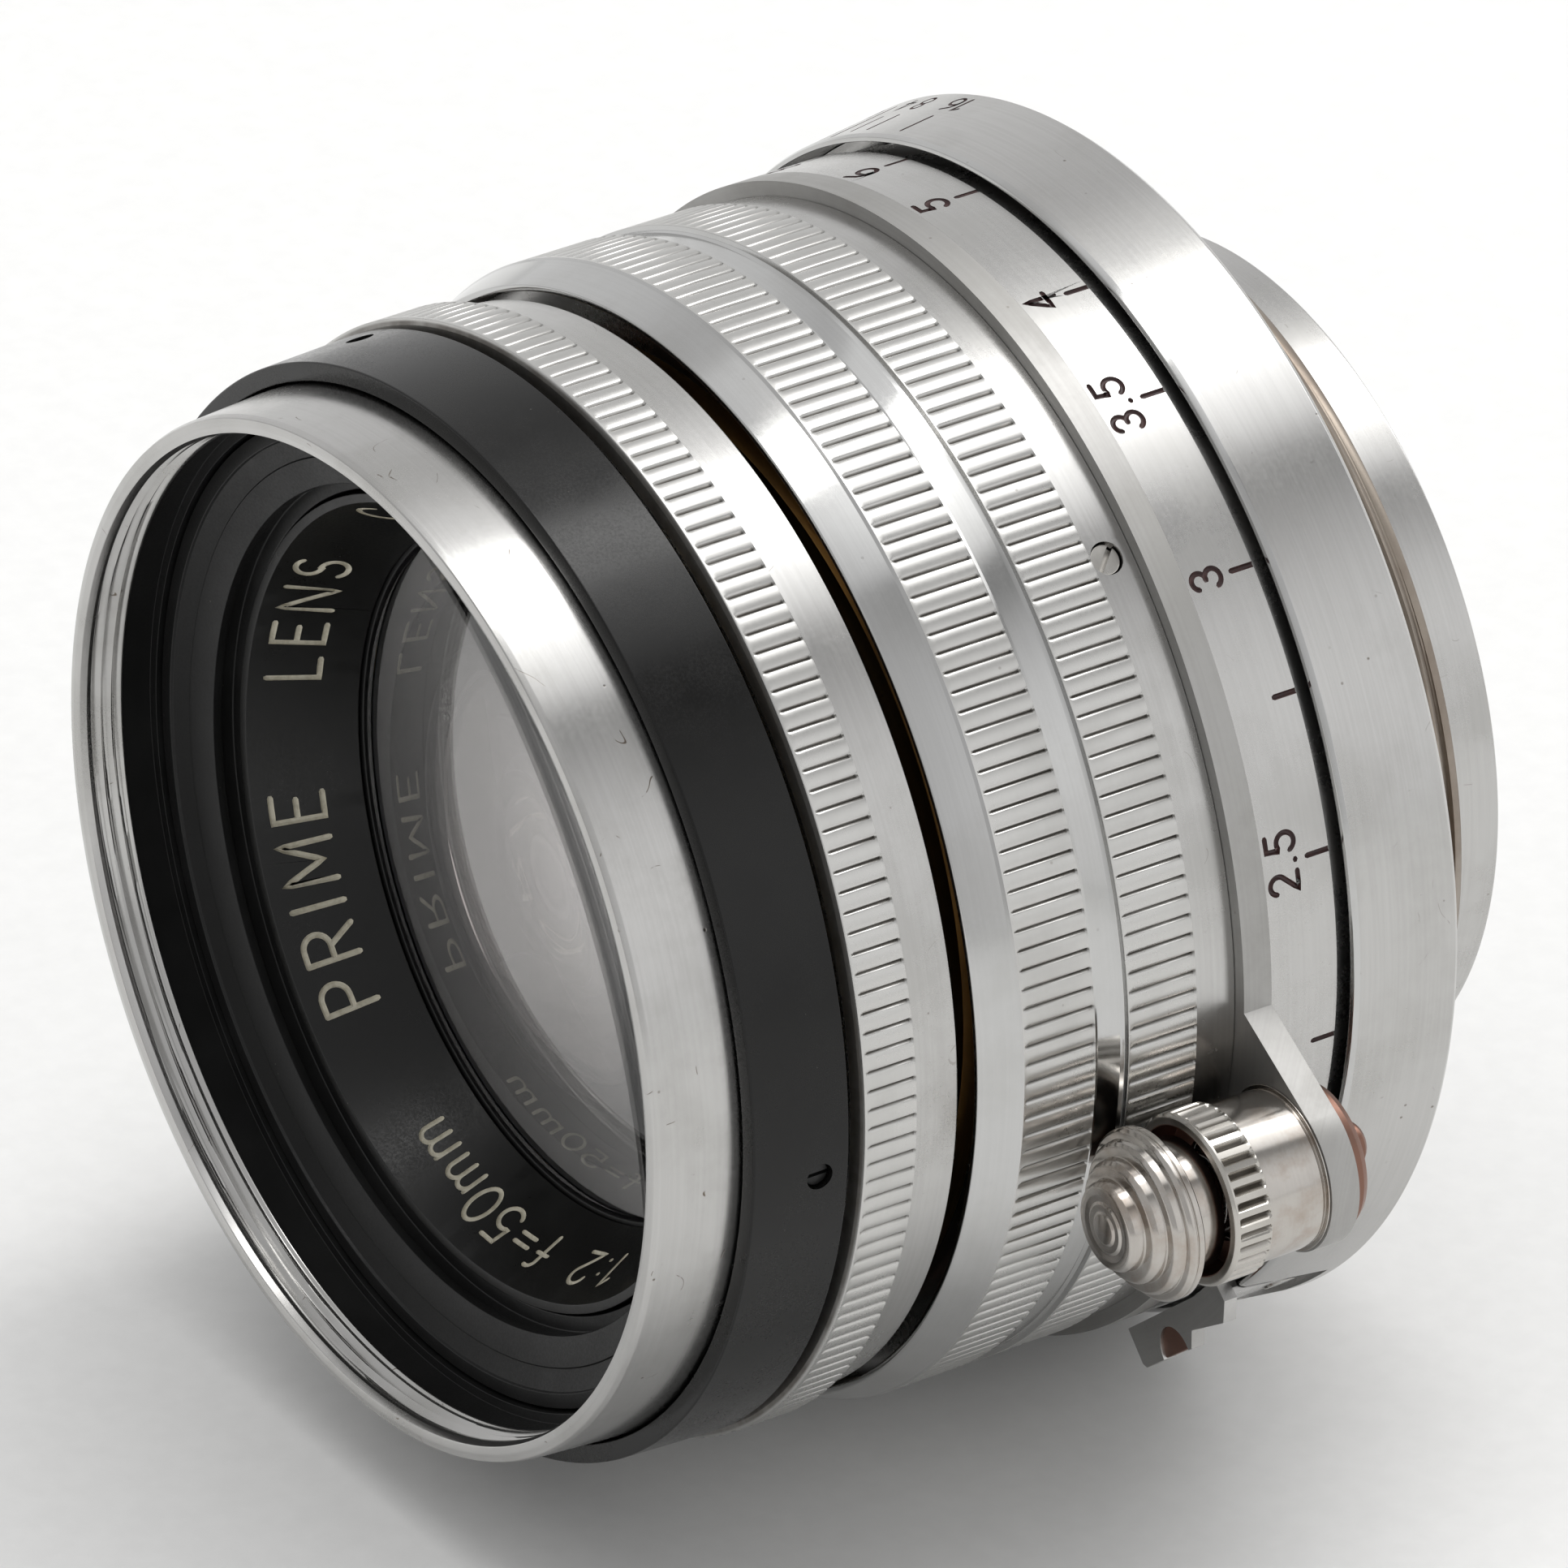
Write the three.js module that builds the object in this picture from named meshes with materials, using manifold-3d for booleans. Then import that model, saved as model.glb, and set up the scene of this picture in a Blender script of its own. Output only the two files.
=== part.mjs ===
// Rigid screw-mount 50 mm f/2 prime lens for a 35 mm rangefinder camera.
//
// Frame: millimetres. The optical axis is the Y axis, the front of the lens faces -Y and +Z is up.
// The origin is the centre of the seat plane that meets the camera body. Distances along the axis
// are given as "depth", measured backwards from the front rim, so y = depth - SEAT_DEPTH.
// Angles are measured around the axis from +X towards +Z.
// The lens is drawn focused at about 2.6 m and wide open.

import * as THREE from 'three';
import { mergeVertices } from 'three/addons/utils/BufferGeometryUtils.js';
import Module from 'manifold-3d';

const wasm = await Module();
wasm.setup();

// ---- driving dimensions -------------------------------------------------------------------------

const SEAT_DEPTH = 34.6;              // front rim to seat plane, as focused here
const OUTER_SIDES = 40;               // facets of the rings seen from outside
const INNER_SIDES = 32;               // facets of the rings inside the lens
const GLASS_SIDES = 24;
const KNOB_SIDES = 24;

const THREAD_RADIUS = 19.5;           // M39 camera thread
const THREAD_LENGTH = 4.0;
const BARREL_BORE = 17.7;             // bore of the mount, which the cam barrel slides in
const BAND_FRONT_DEPTH = 30.0;        // front edge of the depth-of-field band
const BAND_FRONT_RADIUS = 24.08;
const BAND_REAR_RADIUS = 24.57;

const SCALE_RADIUS = 23.5;            // distance scale and arm plate
const GRIP_RADIUS = 23.1;             // knurled focusing grip
const GRIP_FRONT_DEPTH = 13.7;
const GRIP_FRONT_RADIUS = 22.45;
const ARM_FRONT_DEPTH = 25.35;
const ARM_THICKNESS = 1.15;
const ROTOR_BORE = 18.65;             // female helicoid
const ROTOR_RADIUS = 20.0;

const KNOB_RADIUS_FROM_AXIS = 26.65;  // focusing knob, carried by the arm
const KNOB_ANGLE = -11.65;
const KNOB_RADIUS = 3.45;
const ARM_TIP_RADIUS = 3.4;
const ARM_ROOT_HALF_ANGLE = 12.0;
const PIN_RADIUS = 0.9;
const PIN_NECK_RADIUS = 0.45;

const CATCH_ANGLE = -50.4;            // where the pin drops in at infinity
const CATCH_FRONT_DEPTH = 27.4;
const CATCH_THICKNESS = 1.3;
const CATCH_TOP = 25.6;

const RIM_FRONT_RADIUS = 21.0;
const RIM_REAR_RADIUS = 21.23;
const RIM_REAR_DEPTH = 3.7;
const FILTER_BORE = 20.2;             // 40.5 mm filter thread
const ENAMEL_BAND_REAR_DEPTH = 7.95;
const APERTURE_KNURL_RADIUS = 22.57;
const APERTURE_BAND_RADIUS = 22.05;

const HELICOID_RADIUS = 18.5;         // male helicoid on the main barrel
const CAM_RADIUS = 17.25;             // rangefinder cam barrel
const CAM_END_DEPTH = 41.7;

const BLADE_COUNT = 10;
const BLADE_THICKNESS = 0.07;
const BLADE_PITCH = 0.11;             // spacing of the blades' planes
const BLADE_FRONT_DEPTH = 19.12;
const BLADE_INNER = 9.0;
const BLADE_OUTER = 15.2;
const BLADE_PIVOT = 14.4;
const BLADE_SPAN = 100;               // degrees of arc beyond the pivot

// ---- finishes -----------------------------------------------------------------------------------

const finish = (color, roughness, metalness) => ({ color, roughness, metalness });
const CHROME = finish(0xc4c4bf, 0.34, 1.0);
const POLISHED = finish(0xd6d6d2, 0.16, 1.0);
const NICKEL = finish(0xb9b0a6, 0.22, 1.0);
const BROWNED = finish(0x6a5048, 0.45, 0.8);
const ENAMEL = finish(0x1b1b1a, 0.28, 0.0);
const BLACKENED = finish(0x151515, 0.7, 0.1);
const BRASS = finish(0xb08d4a, 0.4, 1.0);
const STEEL = finish(0x8d8d8d, 0.35, 1.0);
const GLASS = { ...finish(0xb9b4b0, 0.03, 0.0), transparent: true, opacity: 0.4 };

// ---- helpers ------------------------------------------------------------------------------------

const radians = THREE.MathUtils.degToRad;
const lens = new THREE.Group();

function onAxis(depth) {
  return depth - SEAT_DEPTH;
}

// Six times the signed volume: positive when the faces point outwards.
function signedVolume(geometry) {
  const position = geometry.attributes.position;
  const index = geometry.index;
  const corner = [new THREE.Vector3(), new THREE.Vector3(), new THREE.Vector3()];
  let sum = 0;
  for (let i = 0; i < index.count; i += 3) {
    corner.forEach((point, k) => point.fromBufferAttribute(position, index.getX(i + k)));
    sum += corner[0].dot(corner[1].clone().cross(corner[2]));
  }
  return sum;
}

// Merges shared corners, drops slivers that collapse to a line, and turns the faces outwards.
function closed(source) {
  let geometry = source.clone();
  geometry.deleteAttribute('normal');
  geometry.deleteAttribute('uv');
  geometry = mergeVertices(geometry, 1e-5);
  const index = geometry.index;
  const kept = [];
  for (let i = 0; i < index.count; i += 3) {
    const [a, b, c] = [index.getX(i), index.getX(i + 1), index.getX(i + 2)];
    if (a !== b && b !== c && c !== a) kept.push(a, b, c);
  }
  geometry.setIndex(kept);
  if (signedVolume(geometry) < 0) {
    for (let i = 0; i < kept.length; i += 3) [kept[i + 1], kept[i + 2]] = [kept[i + 2], kept[i + 1]];
    geometry.setIndex(kept);
  }
  return geometry;
}

function toManifold(geometry) {
  const shape = closed(geometry);
  return new wasm.Manifold(new wasm.Mesh({
    numProp: 3,
    vertProperties: new Float32Array(shape.attributes.position.array),
    triVerts: new Uint32Array(shape.index.array),
  }));
}

function fromManifold(solid) {
  const mesh = solid.getMesh();
  const geometry = new THREE.BufferGeometry();
  geometry.setAttribute('position', new THREE.BufferAttribute(new Float32Array(mesh.vertProperties), 3));
  geometry.setIndex(new THREE.BufferAttribute(new Uint32Array(mesh.triVerts), 1));
  return geometry;
}

function cut(geometry, ...tools) {
  return fromManifold(tools.reduce((solid, tool) => solid.subtract(toManifold(tool)), toManifold(geometry)));
}

function join(...geometries) {
  return fromManifold(geometries.map(toManifold).reduce((all, next) => all.add(next)));
}

function add(name, geometry, look) {
  const shape = closed(geometry);
  shape.computeVertexNormals();
  const mesh = new THREE.Mesh(shape, new THREE.MeshStandardMaterial(look));
  mesh.name = name;
  lens.add(mesh);
  return mesh;
}

// A solid of revolution about the optical axis from [radius, depth] corners.
function turned(corners, sides = OUTER_SIDES) {
  const points = corners.map(([radius, depth]) => new THREE.Vector2(radius, onAxis(depth)));
  if (corners[0][0] > 0) points.push(points[0].clone());
  return new THREE.LatheGeometry(points, sides);
}

// The same, about an axis parallel to the optical axis through (x, z).
function turnedAt(x, z, corners, sides) {
  return turned(corners, sides).translate(x, 0, z);
}

function polar(radius, angle) {
  return [radius * Math.cos(radians(angle)), radius * Math.sin(radians(angle))];
}

// A flat outline in the (x, z) plane, given thickness from one depth to another.
function plate(outline, frontDepth, rearDepth, hole) {
  const shape = new THREE.Shape(outline.map(([x, z]) => new THREE.Vector2(x, z)));
  if (hole) shape.holes.push(hole);
  const geometry = new THREE.ExtrudeGeometry(shape, { depth: rearDepth - frontDepth, bevelEnabled: false,
    curveSegments: 12 });
  return geometry.rotateX(Math.PI / 2).translate(0, onAxis(rearDepth), 0);
}

// A radial cylinder between two radii, pointing outwards at an angle, for screws and their holes.
function radialPin(radius, inner, outer, angle, depth, sides = 12) {
  const geometry = new THREE.CylinderGeometry(radius, radius, outer - inner, sides);
  geometry.rotateZ(-Math.PI / 2).translate((inner + outer) / 2, onAxis(depth), 0);
  return geometry.rotateY(-radians(angle));
}

// A block set square to the radius at an angle: along the radius, along the axis, across.
function radialBlock(inner, outer, frontDepth, rearDepth, halfWidth, angle) {
  const geometry = new THREE.BoxGeometry(outer - inner, rearDepth - frontDepth, 2 * halfWidth);
  geometry.translate((inner + outer) / 2, onAxis((frontDepth + rearDepth) / 2), 0);
  return geometry.rotateY(-radians(angle));
}

function arcPoints(radius, from, to, steps) {
  return Array.from({ length: steps + 1 }, (_, i) => polar(radius, from + ((to - from) * i) / steps));
}

// ---- mount: the part that screws into the camera --------------------------------------------------

const KEY_ANGLE = 90;
const KEY_HALF_WIDTH = 1.1;
const FOOT_HALF_WIDTH = 1.9;
const FOOT_REAR_DEPTH = 33.9;

function addMount() {
  const threadEnd = SEAT_DEPTH + THREAD_LENGTH;
  add('mount_flange', turned([
    [BARREL_BORE, threadEnd],
    [THREAD_RADIUS - 0.4, threadEnd],
    [THREAD_RADIUS, threadEnd - 0.4],
    [THREAD_RADIUS, SEAT_DEPTH],
    [23.1, SEAT_DEPTH],
    [23.1, 32.4],
    [22.0, 32.4],
    [22.0, 28.5],
    [20.9, 28.5],
    [20.9, 32.0],
    [BARREL_BORE, 32.0],
  ]), CHROME);

  const band = turned([
    [23.2, SEAT_DEPTH],
    [BAND_REAR_RADIUS - 0.15, SEAT_DEPTH],
    [BAND_REAR_RADIUS, SEAT_DEPTH - 0.2],
    [BAND_FRONT_RADIUS, BAND_FRONT_DEPTH + 0.25],
    [BAND_FRONT_RADIUS - 0.28, BAND_FRONT_DEPTH],
    [BAND_FRONT_RADIUS - 0.28, 32.2],
    [23.2, 32.2],
  ]);
  const footSlot = radialBlock(23.45, 26, BAND_FRONT_DEPTH - 1, FOOT_REAR_DEPTH + 0.1,
    FOOT_HALF_WIDTH + 0.1, CATCH_ANGLE);
  add('dof_ring', cut(band, footSlot), CHROME);

  add('helicoid_retaining_ring', turned([[20.2, 27.0], [21.9, 27.0], [21.9, 28.4], [20.2, 28.4]], INNER_SIDES), BRASS);
  add('guide_key', radialBlock(17.5, 18.4, 20.5, 31.9, KEY_HALF_WIDTH, KEY_ANGLE), STEEL);
}

// The catch plate stands up in front of the band. Its notch takes the lock pin at infinity, and the
// shoulder beyond the notch rises towards it. The foot runs back through the band and takes a screw.
function addInfinityCatch() {
  const rear = CATCH_FRONT_DEPTH + CATCH_THICKNESS;
  const outline = [
    [23.8, -2.85],
    [CATCH_TOP - 0.3, -2.75],
    [CATCH_TOP - 0.1, -2.55],
    [CATCH_TOP - 0.1, -1.3],
    [24.8, -1.3],
    [24.4, -0.85],
    [24.4, 0.85],
    [24.8, 1.3],
    [CATCH_TOP - 0.05, 1.3],
    [24.9, 1.85],
    [25.15, 4.4],
    [24.4, 5.1],
    [23.45, 4.9],
    [23.75, 2.9],
  ];
  const stand = plate(outline, CATCH_FRONT_DEPTH, rear).rotateY(-radians(CATCH_ANGLE));
  const foot = radialBlock(23.85, 24.15, rear - 0.5, FOOT_REAR_DEPTH, FOOT_HALF_WIDTH, CATCH_ANGLE);
  const screwHole = radialPin(0.75, 23, 25, CATCH_ANGLE, 32.9);
  add('infinity_catch', cut(join(stand, foot), screwHole), CHROME);
  add('catch_screw', radialPin(0.65, 23.55, 24.25, CATCH_ANGLE, 32.9), STEEL);
}

// ---- focusing ring --------------------------------------------------------------------------------

const GRIP_SCREW_ANGLES = [47, 167, 287];
const GRIP_SCREW_DEPTH = 24.15;

// The arm plate is a ring with one lug whose sides run tangent to the round tip.
function armOutline() {
  const lower = polar(SCALE_RADIUS, KNOB_ANGLE - ARM_ROOT_HALF_ANGLE);
  const tip = polar(KNOB_RADIUS_FROM_AXIS, KNOB_ANGLE);
  const reach = Math.hypot(lower[0] - tip[0], lower[1] - tip[1]);
  const toRoot = THREE.MathUtils.radToDeg(Math.atan2(lower[1] - tip[1], lower[0] - tip[0]));
  const tangent = THREE.MathUtils.radToDeg(Math.acos(ARM_TIP_RADIUS / reach));
  const start = toRoot + tangent;
  const end = 2 * KNOB_ANGLE - start;
  const tipArc = arcPoints(ARM_TIP_RADIUS, start, end, 12).map(([x, z]) => [x + tip[0], z + tip[1]]);
  const ring = arcPoints(SCALE_RADIUS, KNOB_ANGLE + ARM_ROOT_HALF_ANGLE,
    KNOB_ANGLE - ARM_ROOT_HALF_ANGLE + 360, 44);
  return [...tipArc, ...ring];
}

function addFocusRing() {
  add('helicoid_rotor', turned([
    [ROTOR_BORE, 15.6],
    [ROTOR_RADIUS, 15.6],
    [ROTOR_RADIUS, 28.6],
    [20.7, 28.6],
    [20.7, 31.7],
    [ROTOR_BORE, 31.7],
  ], INNER_SIDES), BRASS);

  const grip = turned([
    [22.2, GRIP_FRONT_DEPTH],
    [GRIP_FRONT_RADIUS, GRIP_FRONT_DEPTH],
    [GRIP_RADIUS, 15.35],
    [GRIP_RADIUS, 18.7],
    [22.85, 18.8],
    [22.85, 20.15],
    [GRIP_RADIUS, 20.25],
    [GRIP_RADIUS, 23.4],
    [22.9, 23.45],
    [22.9, 25.25],
    [20.1, 25.25],
    [20.1, 15.35],
    [22.2, 15.35],
  ]);
  const holes = GRIP_SCREW_ANGLES.map((angle) => radialPin(0.72, 19, 24, angle, GRIP_SCREW_DEPTH));
  add('grip_ring', cut(grip, ...holes), CHROME);
  GRIP_SCREW_ANGLES.forEach((angle, i) => {
    add(`grip_screw_${i + 1}`, radialPin(0.66, 20.15, 22.8, angle, GRIP_SCREW_DEPTH), STEEL);
  });

  const armRear = ARM_FRONT_DEPTH + ARM_THICKNESS;
  const bore = new THREE.Path(arcPoints(20.1, 0, -360, 48).slice(1).map(([x, z]) => new THREE.Vector2(x, z)));
  const stud = turnedAt(...polar(KNOB_RADIUS_FROM_AXIS, KNOB_ANGLE),
    [[0, 24], [1.55, 24], [1.55, 28], [0, 28]], 20);
  add('focus_arm', cut(plate(armOutline(), ARM_FRONT_DEPTH, armRear, bore), stud), CHROME);

  add('scale_ring', turned([
    [22.3, armRear + 0.05],
    [SCALE_RADIUS, armRear + 0.05],
    [SCALE_RADIUS, 31.7],
    [22.3, 31.7],
  ]), CHROME);
}

function addKnob() {
  const [x, z] = polar(KNOB_RADIUS_FROM_AXIS, KNOB_ANGLE);
  add('knob_sleeve', turnedAt(x, z, [
    [2.05, 22.4],
    [3.2, 22.4],
    [3.2, 25.27],
    [1.45, 25.27],
    [1.45, 27.2],
    [1.0, 27.2],
    [1.0, 24.0],
    [2.05, 24.0],
  ], KNOB_SIDES), NICKEL);
  add('knob_collar', turnedAt(x, z, [
    [3.05, 20.55],
    [KNOB_RADIUS, 20.55],
    [KNOB_RADIUS, 22.32],
    [2.05, 22.32],
    [2.05, 22.1],
    [3.05, 22.1],
  ], KNOB_SIDES), NICKEL);
  add('arm_nut', turnedAt(x, z, [[1.52, 26.58], [1.95, 26.58], [1.95, 27.25], [1.52, 27.25]], 20), BROWNED);
}

// ---- infinity lock button --------------------------------------------------------------------------

function addLockButton() {
  const [x, z] = polar(KNOB_RADIUS_FROM_AXIS, KNOB_ANGLE);
  add('lock_button', turnedAt(x, z, [
    [0, 17.2],
    [1.15, 17.25],
    [1.25, 17.55],
    [1.95, 17.65],
    [2.05, 17.95],
    [2.75, 18.1],
    [2.85, 18.5],
    [KNOB_RADIUS, 18.65],
    [KNOB_RADIUS, 19.35],
    [2.9, 19.4],
    [2.9, 20.85],
    [0.95, 20.85],
    [0.95, 18.6],
    [0, 18.6],
  ], KNOB_SIDES), NICKEL);
  add('lock_pin', turnedAt(x, z, [
    [0, 18.65],
    [PIN_RADIUS, 18.65],
    [PIN_RADIUS, 26.1],
    [PIN_NECK_RADIUS, 26.2],
    [PIN_NECK_RADIUS, 27.85],
    [PIN_RADIUS, 27.85],
    [PIN_RADIUS, 28.65],
    [PIN_RADIUS - 0.15, 28.8],
    [0, 28.8],
  ], 20), BROWNED);
}

class Helix extends THREE.Curve {
  constructor(radius, turns, length) {
    super();
    Object.assign(this, { radius, turns, length });
  }

  getPoint(t) {
    const angle = 2 * Math.PI * this.turns * t;
    return new THREE.Vector3(this.radius * Math.cos(angle), this.length * t, this.radius * Math.sin(angle));
  }
}

function addLockSpring() {
  const [x, z] = polar(KNOB_RADIUS_FROM_AXIS, KNOB_ANGLE);
  const wire = 0.16;
  const section = new THREE.Shape(
    Array.from({ length: 6 }, (_, i) => new THREE.Vector2(wire * Math.cos(i * Math.PI / 3),
      wire * Math.sin(i * Math.PI / 3))));
  const front = 21.1;
  const path = new Helix(1.5, 4.5, 23.75 - front);
  const coil = new THREE.ExtrudeGeometry(section, { steps: 54, extrudePath: path });
  add('lock_spring', coil.translate(x, onAxis(front), z), STEEL);
}

// ---- optical unit: slides on the guide key as the focusing ring turns -------------------------------

const BAND_SCREW_ANGLES = [-4, 116, 236];
const BAND_SCREW_DEPTH = 6.7;
const DRIVE_SLOT_DEPTH = 11.7;
const DRIVE_ANGLE = 200;
const APERTURE_TRAVEL = 72;

function addFrontShell() {
  add('filter_rim', turned([
    [FILTER_BORE, 0.2],
    [FILTER_BORE + 0.25, 0],
    [RIM_FRONT_RADIUS - 0.1, 0],
    [RIM_FRONT_RADIUS, 0.12],
    [RIM_REAR_RADIUS, RIM_REAR_DEPTH],
    [RIM_REAR_RADIUS, 8.1],
    [20.0, 8.1],
    [20.0, 3.45],
    [FILTER_BORE, 3.45],
  ]), CHROME);

  const band = turned([
    [21.35, RIM_REAR_DEPTH + 0.05],
    [22.11, RIM_REAR_DEPTH + 0.05],
    [22.29, ENAMEL_BAND_REAR_DEPTH],
    [21.35, ENAMEL_BAND_REAR_DEPTH],
  ]);
  const holes = BAND_SCREW_ANGLES.map((angle) => radialPin(0.62, 20.5, 23, angle, BAND_SCREW_DEPTH));
  add('black_band', cut(band, ...holes), ENAMEL);
  BAND_SCREW_ANGLES.forEach((angle, i) => {
    add(`band_screw_${i + 1}`, radialPin(0.55, 21.35, 22.1, angle, BAND_SCREW_DEPTH), BLACKENED);
  });

  add('front_bezel', turned([
    [19.25, 3.57],
    [19.85, 3.57],
    [19.85, 7.6],
    [16.6, 7.6],
    [16.6, 5.3],
    [17.3, 5.3],
    [17.3, 4.25],
  ]), BLACKENED);
  add('name_ring', turned([[16.1, 5.1], [16.5, 5.1], [16.5, 9.2], [14.15, 9.2]]), BLACKENED);
}

function addMainBarrel() {
  const barrel = turned([
    [16.65, 7.75],
    [18.85, 7.75],
    [18.85, 13.3],
    [17.3, 13.3],
    [17.3, 22.0],
    [HELICOID_RADIUS, 22.0],
    [HELICOID_RADIUS, 30.0],
    [14.2, 30.0],
    [14.2, 21.5],
    [16.65, 21.5],
  ], INNER_SIDES);
  const keyway = radialBlock(17.38, 20, 21, 31, KEY_HALF_WIDTH + 0.15, KEY_ANGLE);
  const sector = [
    ...arcPoints(15.5, DRIVE_ANGLE - 8, DRIVE_ANGLE + APERTURE_TRAVEL + 8, 14),
    ...arcPoints(20.5, DRIVE_ANGLE + APERTURE_TRAVEL + 8, DRIVE_ANGLE - 8, 14),
  ];
  const driveSlot = plate(sector, DRIVE_SLOT_DEPTH - 0.75, DRIVE_SLOT_DEPTH + 0.75);
  add('main_barrel', cut(barrel, keyway, driveSlot), BRASS);
  add('aperture_retainer', turned([[17.4, 13.45], [19.9, 13.45], [19.9, 14.0], [17.4, 14.0]],
    INNER_SIDES), BRASS);
  add('cam_barrel', turned([
    [15.5, 30.1],
    [CAM_RADIUS, 30.1],
    [CAM_RADIUS, CAM_END_DEPTH],
    [16.4, CAM_END_DEPTH],
    [15.5, CAM_END_DEPTH - 1.5],
  ]), CHROME);
}

// Depth of a spherical surface at a radius; a positive curve radius bulges towards the front.
function surfaceDepth(vertex, curve, radius) {
  return vertex + curve - Math.sign(curve) * Math.sqrt(curve * curve - radius * radius);
}

function addGlass(name, rim, front, rear) {
  const steps = 3;
  const along = Array.from({ length: steps + 1 }, (_, i) => (rim * i) / steps);
  const face = ([vertex, curve]) => along.map((radius) => [radius, surfaceDepth(vertex, curve, radius)]);
  add(name, turned([...face(front), ...face(rear).reverse()], GLASS_SIDES), GLASS);
}

function addOptics() {
  addGlass('front_element', 13.9, [6.9, 40], [11.3, 300]);
  add('front_cell', turned([
    [14.05, 9.3],
    [16.45, 9.3],
    [16.45, 11.4],
    [15.2, 11.4],
    [15.2, 18.2],
    [10.3, 18.2],
    [10.3, 15.55],
    [11.85, 15.55],
    [11.85, 11.9],
    [14.05, 11.9],
  ], INNER_SIDES), BLACKENED);
  addGlass('triplet_front', 11.7, [12.0, 28], [15.0, 200]);
  addGlass('triplet_middle', 10.15, [15.1, 200], [16.2, 300]);
  addGlass('triplet_rear', 10.15, [16.3, 300], [16.95, 45]);
  add('rear_cell', turned([
    [9.9, 21.6],
    [14.0, 21.6],
    [14.0, 30.5],
    [12.2, 30.5],
    [12.2, 37.6],
    [9.9, 37.6],
  ], INNER_SIDES), BLACKENED);
  addGlass('rear_doublet_front', 9.75, [22.4, -80], [27.5, 20]);
  addGlass('rear_doublet_back', 9.75, [27.6, 20], [35.5, -24]);
  add('rear_retainer', turned([[8.8, 34.15], [9.8, 34.15], [9.8, 35.9], [9.3, 35.9]], INNER_SIDES),
    BLACKENED);
}

// ---- aperture ---------------------------------------------------------------------------------------

function addAperture() {
  const ring = turned([
    [19.0, 8.45],
    [22.3, 8.45],
    [APERTURE_KNURL_RADIUS, 8.7],
    [APERTURE_KNURL_RADIUS, 10.85],
    [APERTURE_BAND_RADIUS, 10.95],
    [APERTURE_BAND_RADIUS, 13.1],
    [19.0, 13.1],
  ]);
  const screwHole = radialPin(0.62, 18, 24, DRIVE_ANGLE, DRIVE_SLOT_DEPTH);
  add('aperture_ring', cut(ring, screwHole), CHROME);
  add('aperture_drive_screw', radialPin(0.55, 16.6, 22.0, DRIVE_ANGLE, DRIVE_SLOT_DEPTH), STEEL);
  add('iris_cam_ring', turned([
    [15.35, 11.7],
    [16.5, 11.7],
    [16.5, 19.0],
    [11.4, 19.0],
    [11.4, 18.5],
    [15.35, 18.5],
  ], INNER_SIDES), BLACKENED);
  add('iris_housing', turned([[10.6, 20.45], [16.5, 20.45], [16.5, 21.3], [10.6, 21.3]],
    INNER_SIDES), BLACKENED);
}

// Each leaf is an arc that hugs the housing when wide open, pivoting near one rounded end.
function addIrisBlade(number) {
  const middle = (BLADE_INNER + BLADE_OUTER) / 2;
  const halfWidth = (BLADE_OUTER - BLADE_INNER) / 2;
  const roundEnd = (angle, from, to) => arcPoints(halfWidth, from, to, 5)
    .slice(1, -1)
    .map(([x, z]) => {
      const centre = polar(middle, angle);
      return [centre[0] + x, centre[1] + z];
    });
  const outline = [
    ...arcPoints(BLADE_OUTER, 0, BLADE_SPAN, 12),
    ...roundEnd(BLADE_SPAN, BLADE_SPAN, BLADE_SPAN + 180),
    ...arcPoints(BLADE_INNER, BLADE_SPAN, 0, 12),
    ...roundEnd(0, 180, 360),
  ];
  const front = BLADE_FRONT_DEPTH + (number - 1) * BLADE_PITCH;
  const leaf = plate(outline, front, front + BLADE_THICKNESS);
  add(`iris_blade_${number}`, leaf.rotateY(-radians(number * 360 / BLADE_COUNT)), BLACKENED);
}

// ---- assembly ---------------------------------------------------------------------------------------

addMount();
addInfinityCatch();
addFocusRing();
addKnob();
addLockButton();
addLockSpring();
addFrontShell();
addMainBarrel();
addOptics();
addAperture();
for (let number = 1; number <= BLADE_COUNT; number += 1) addIrisBlade(number);

export default lens;
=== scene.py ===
import math

import bmesh
import bpy
import numpy as np
from mathutils import Matrix, Vector


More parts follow.
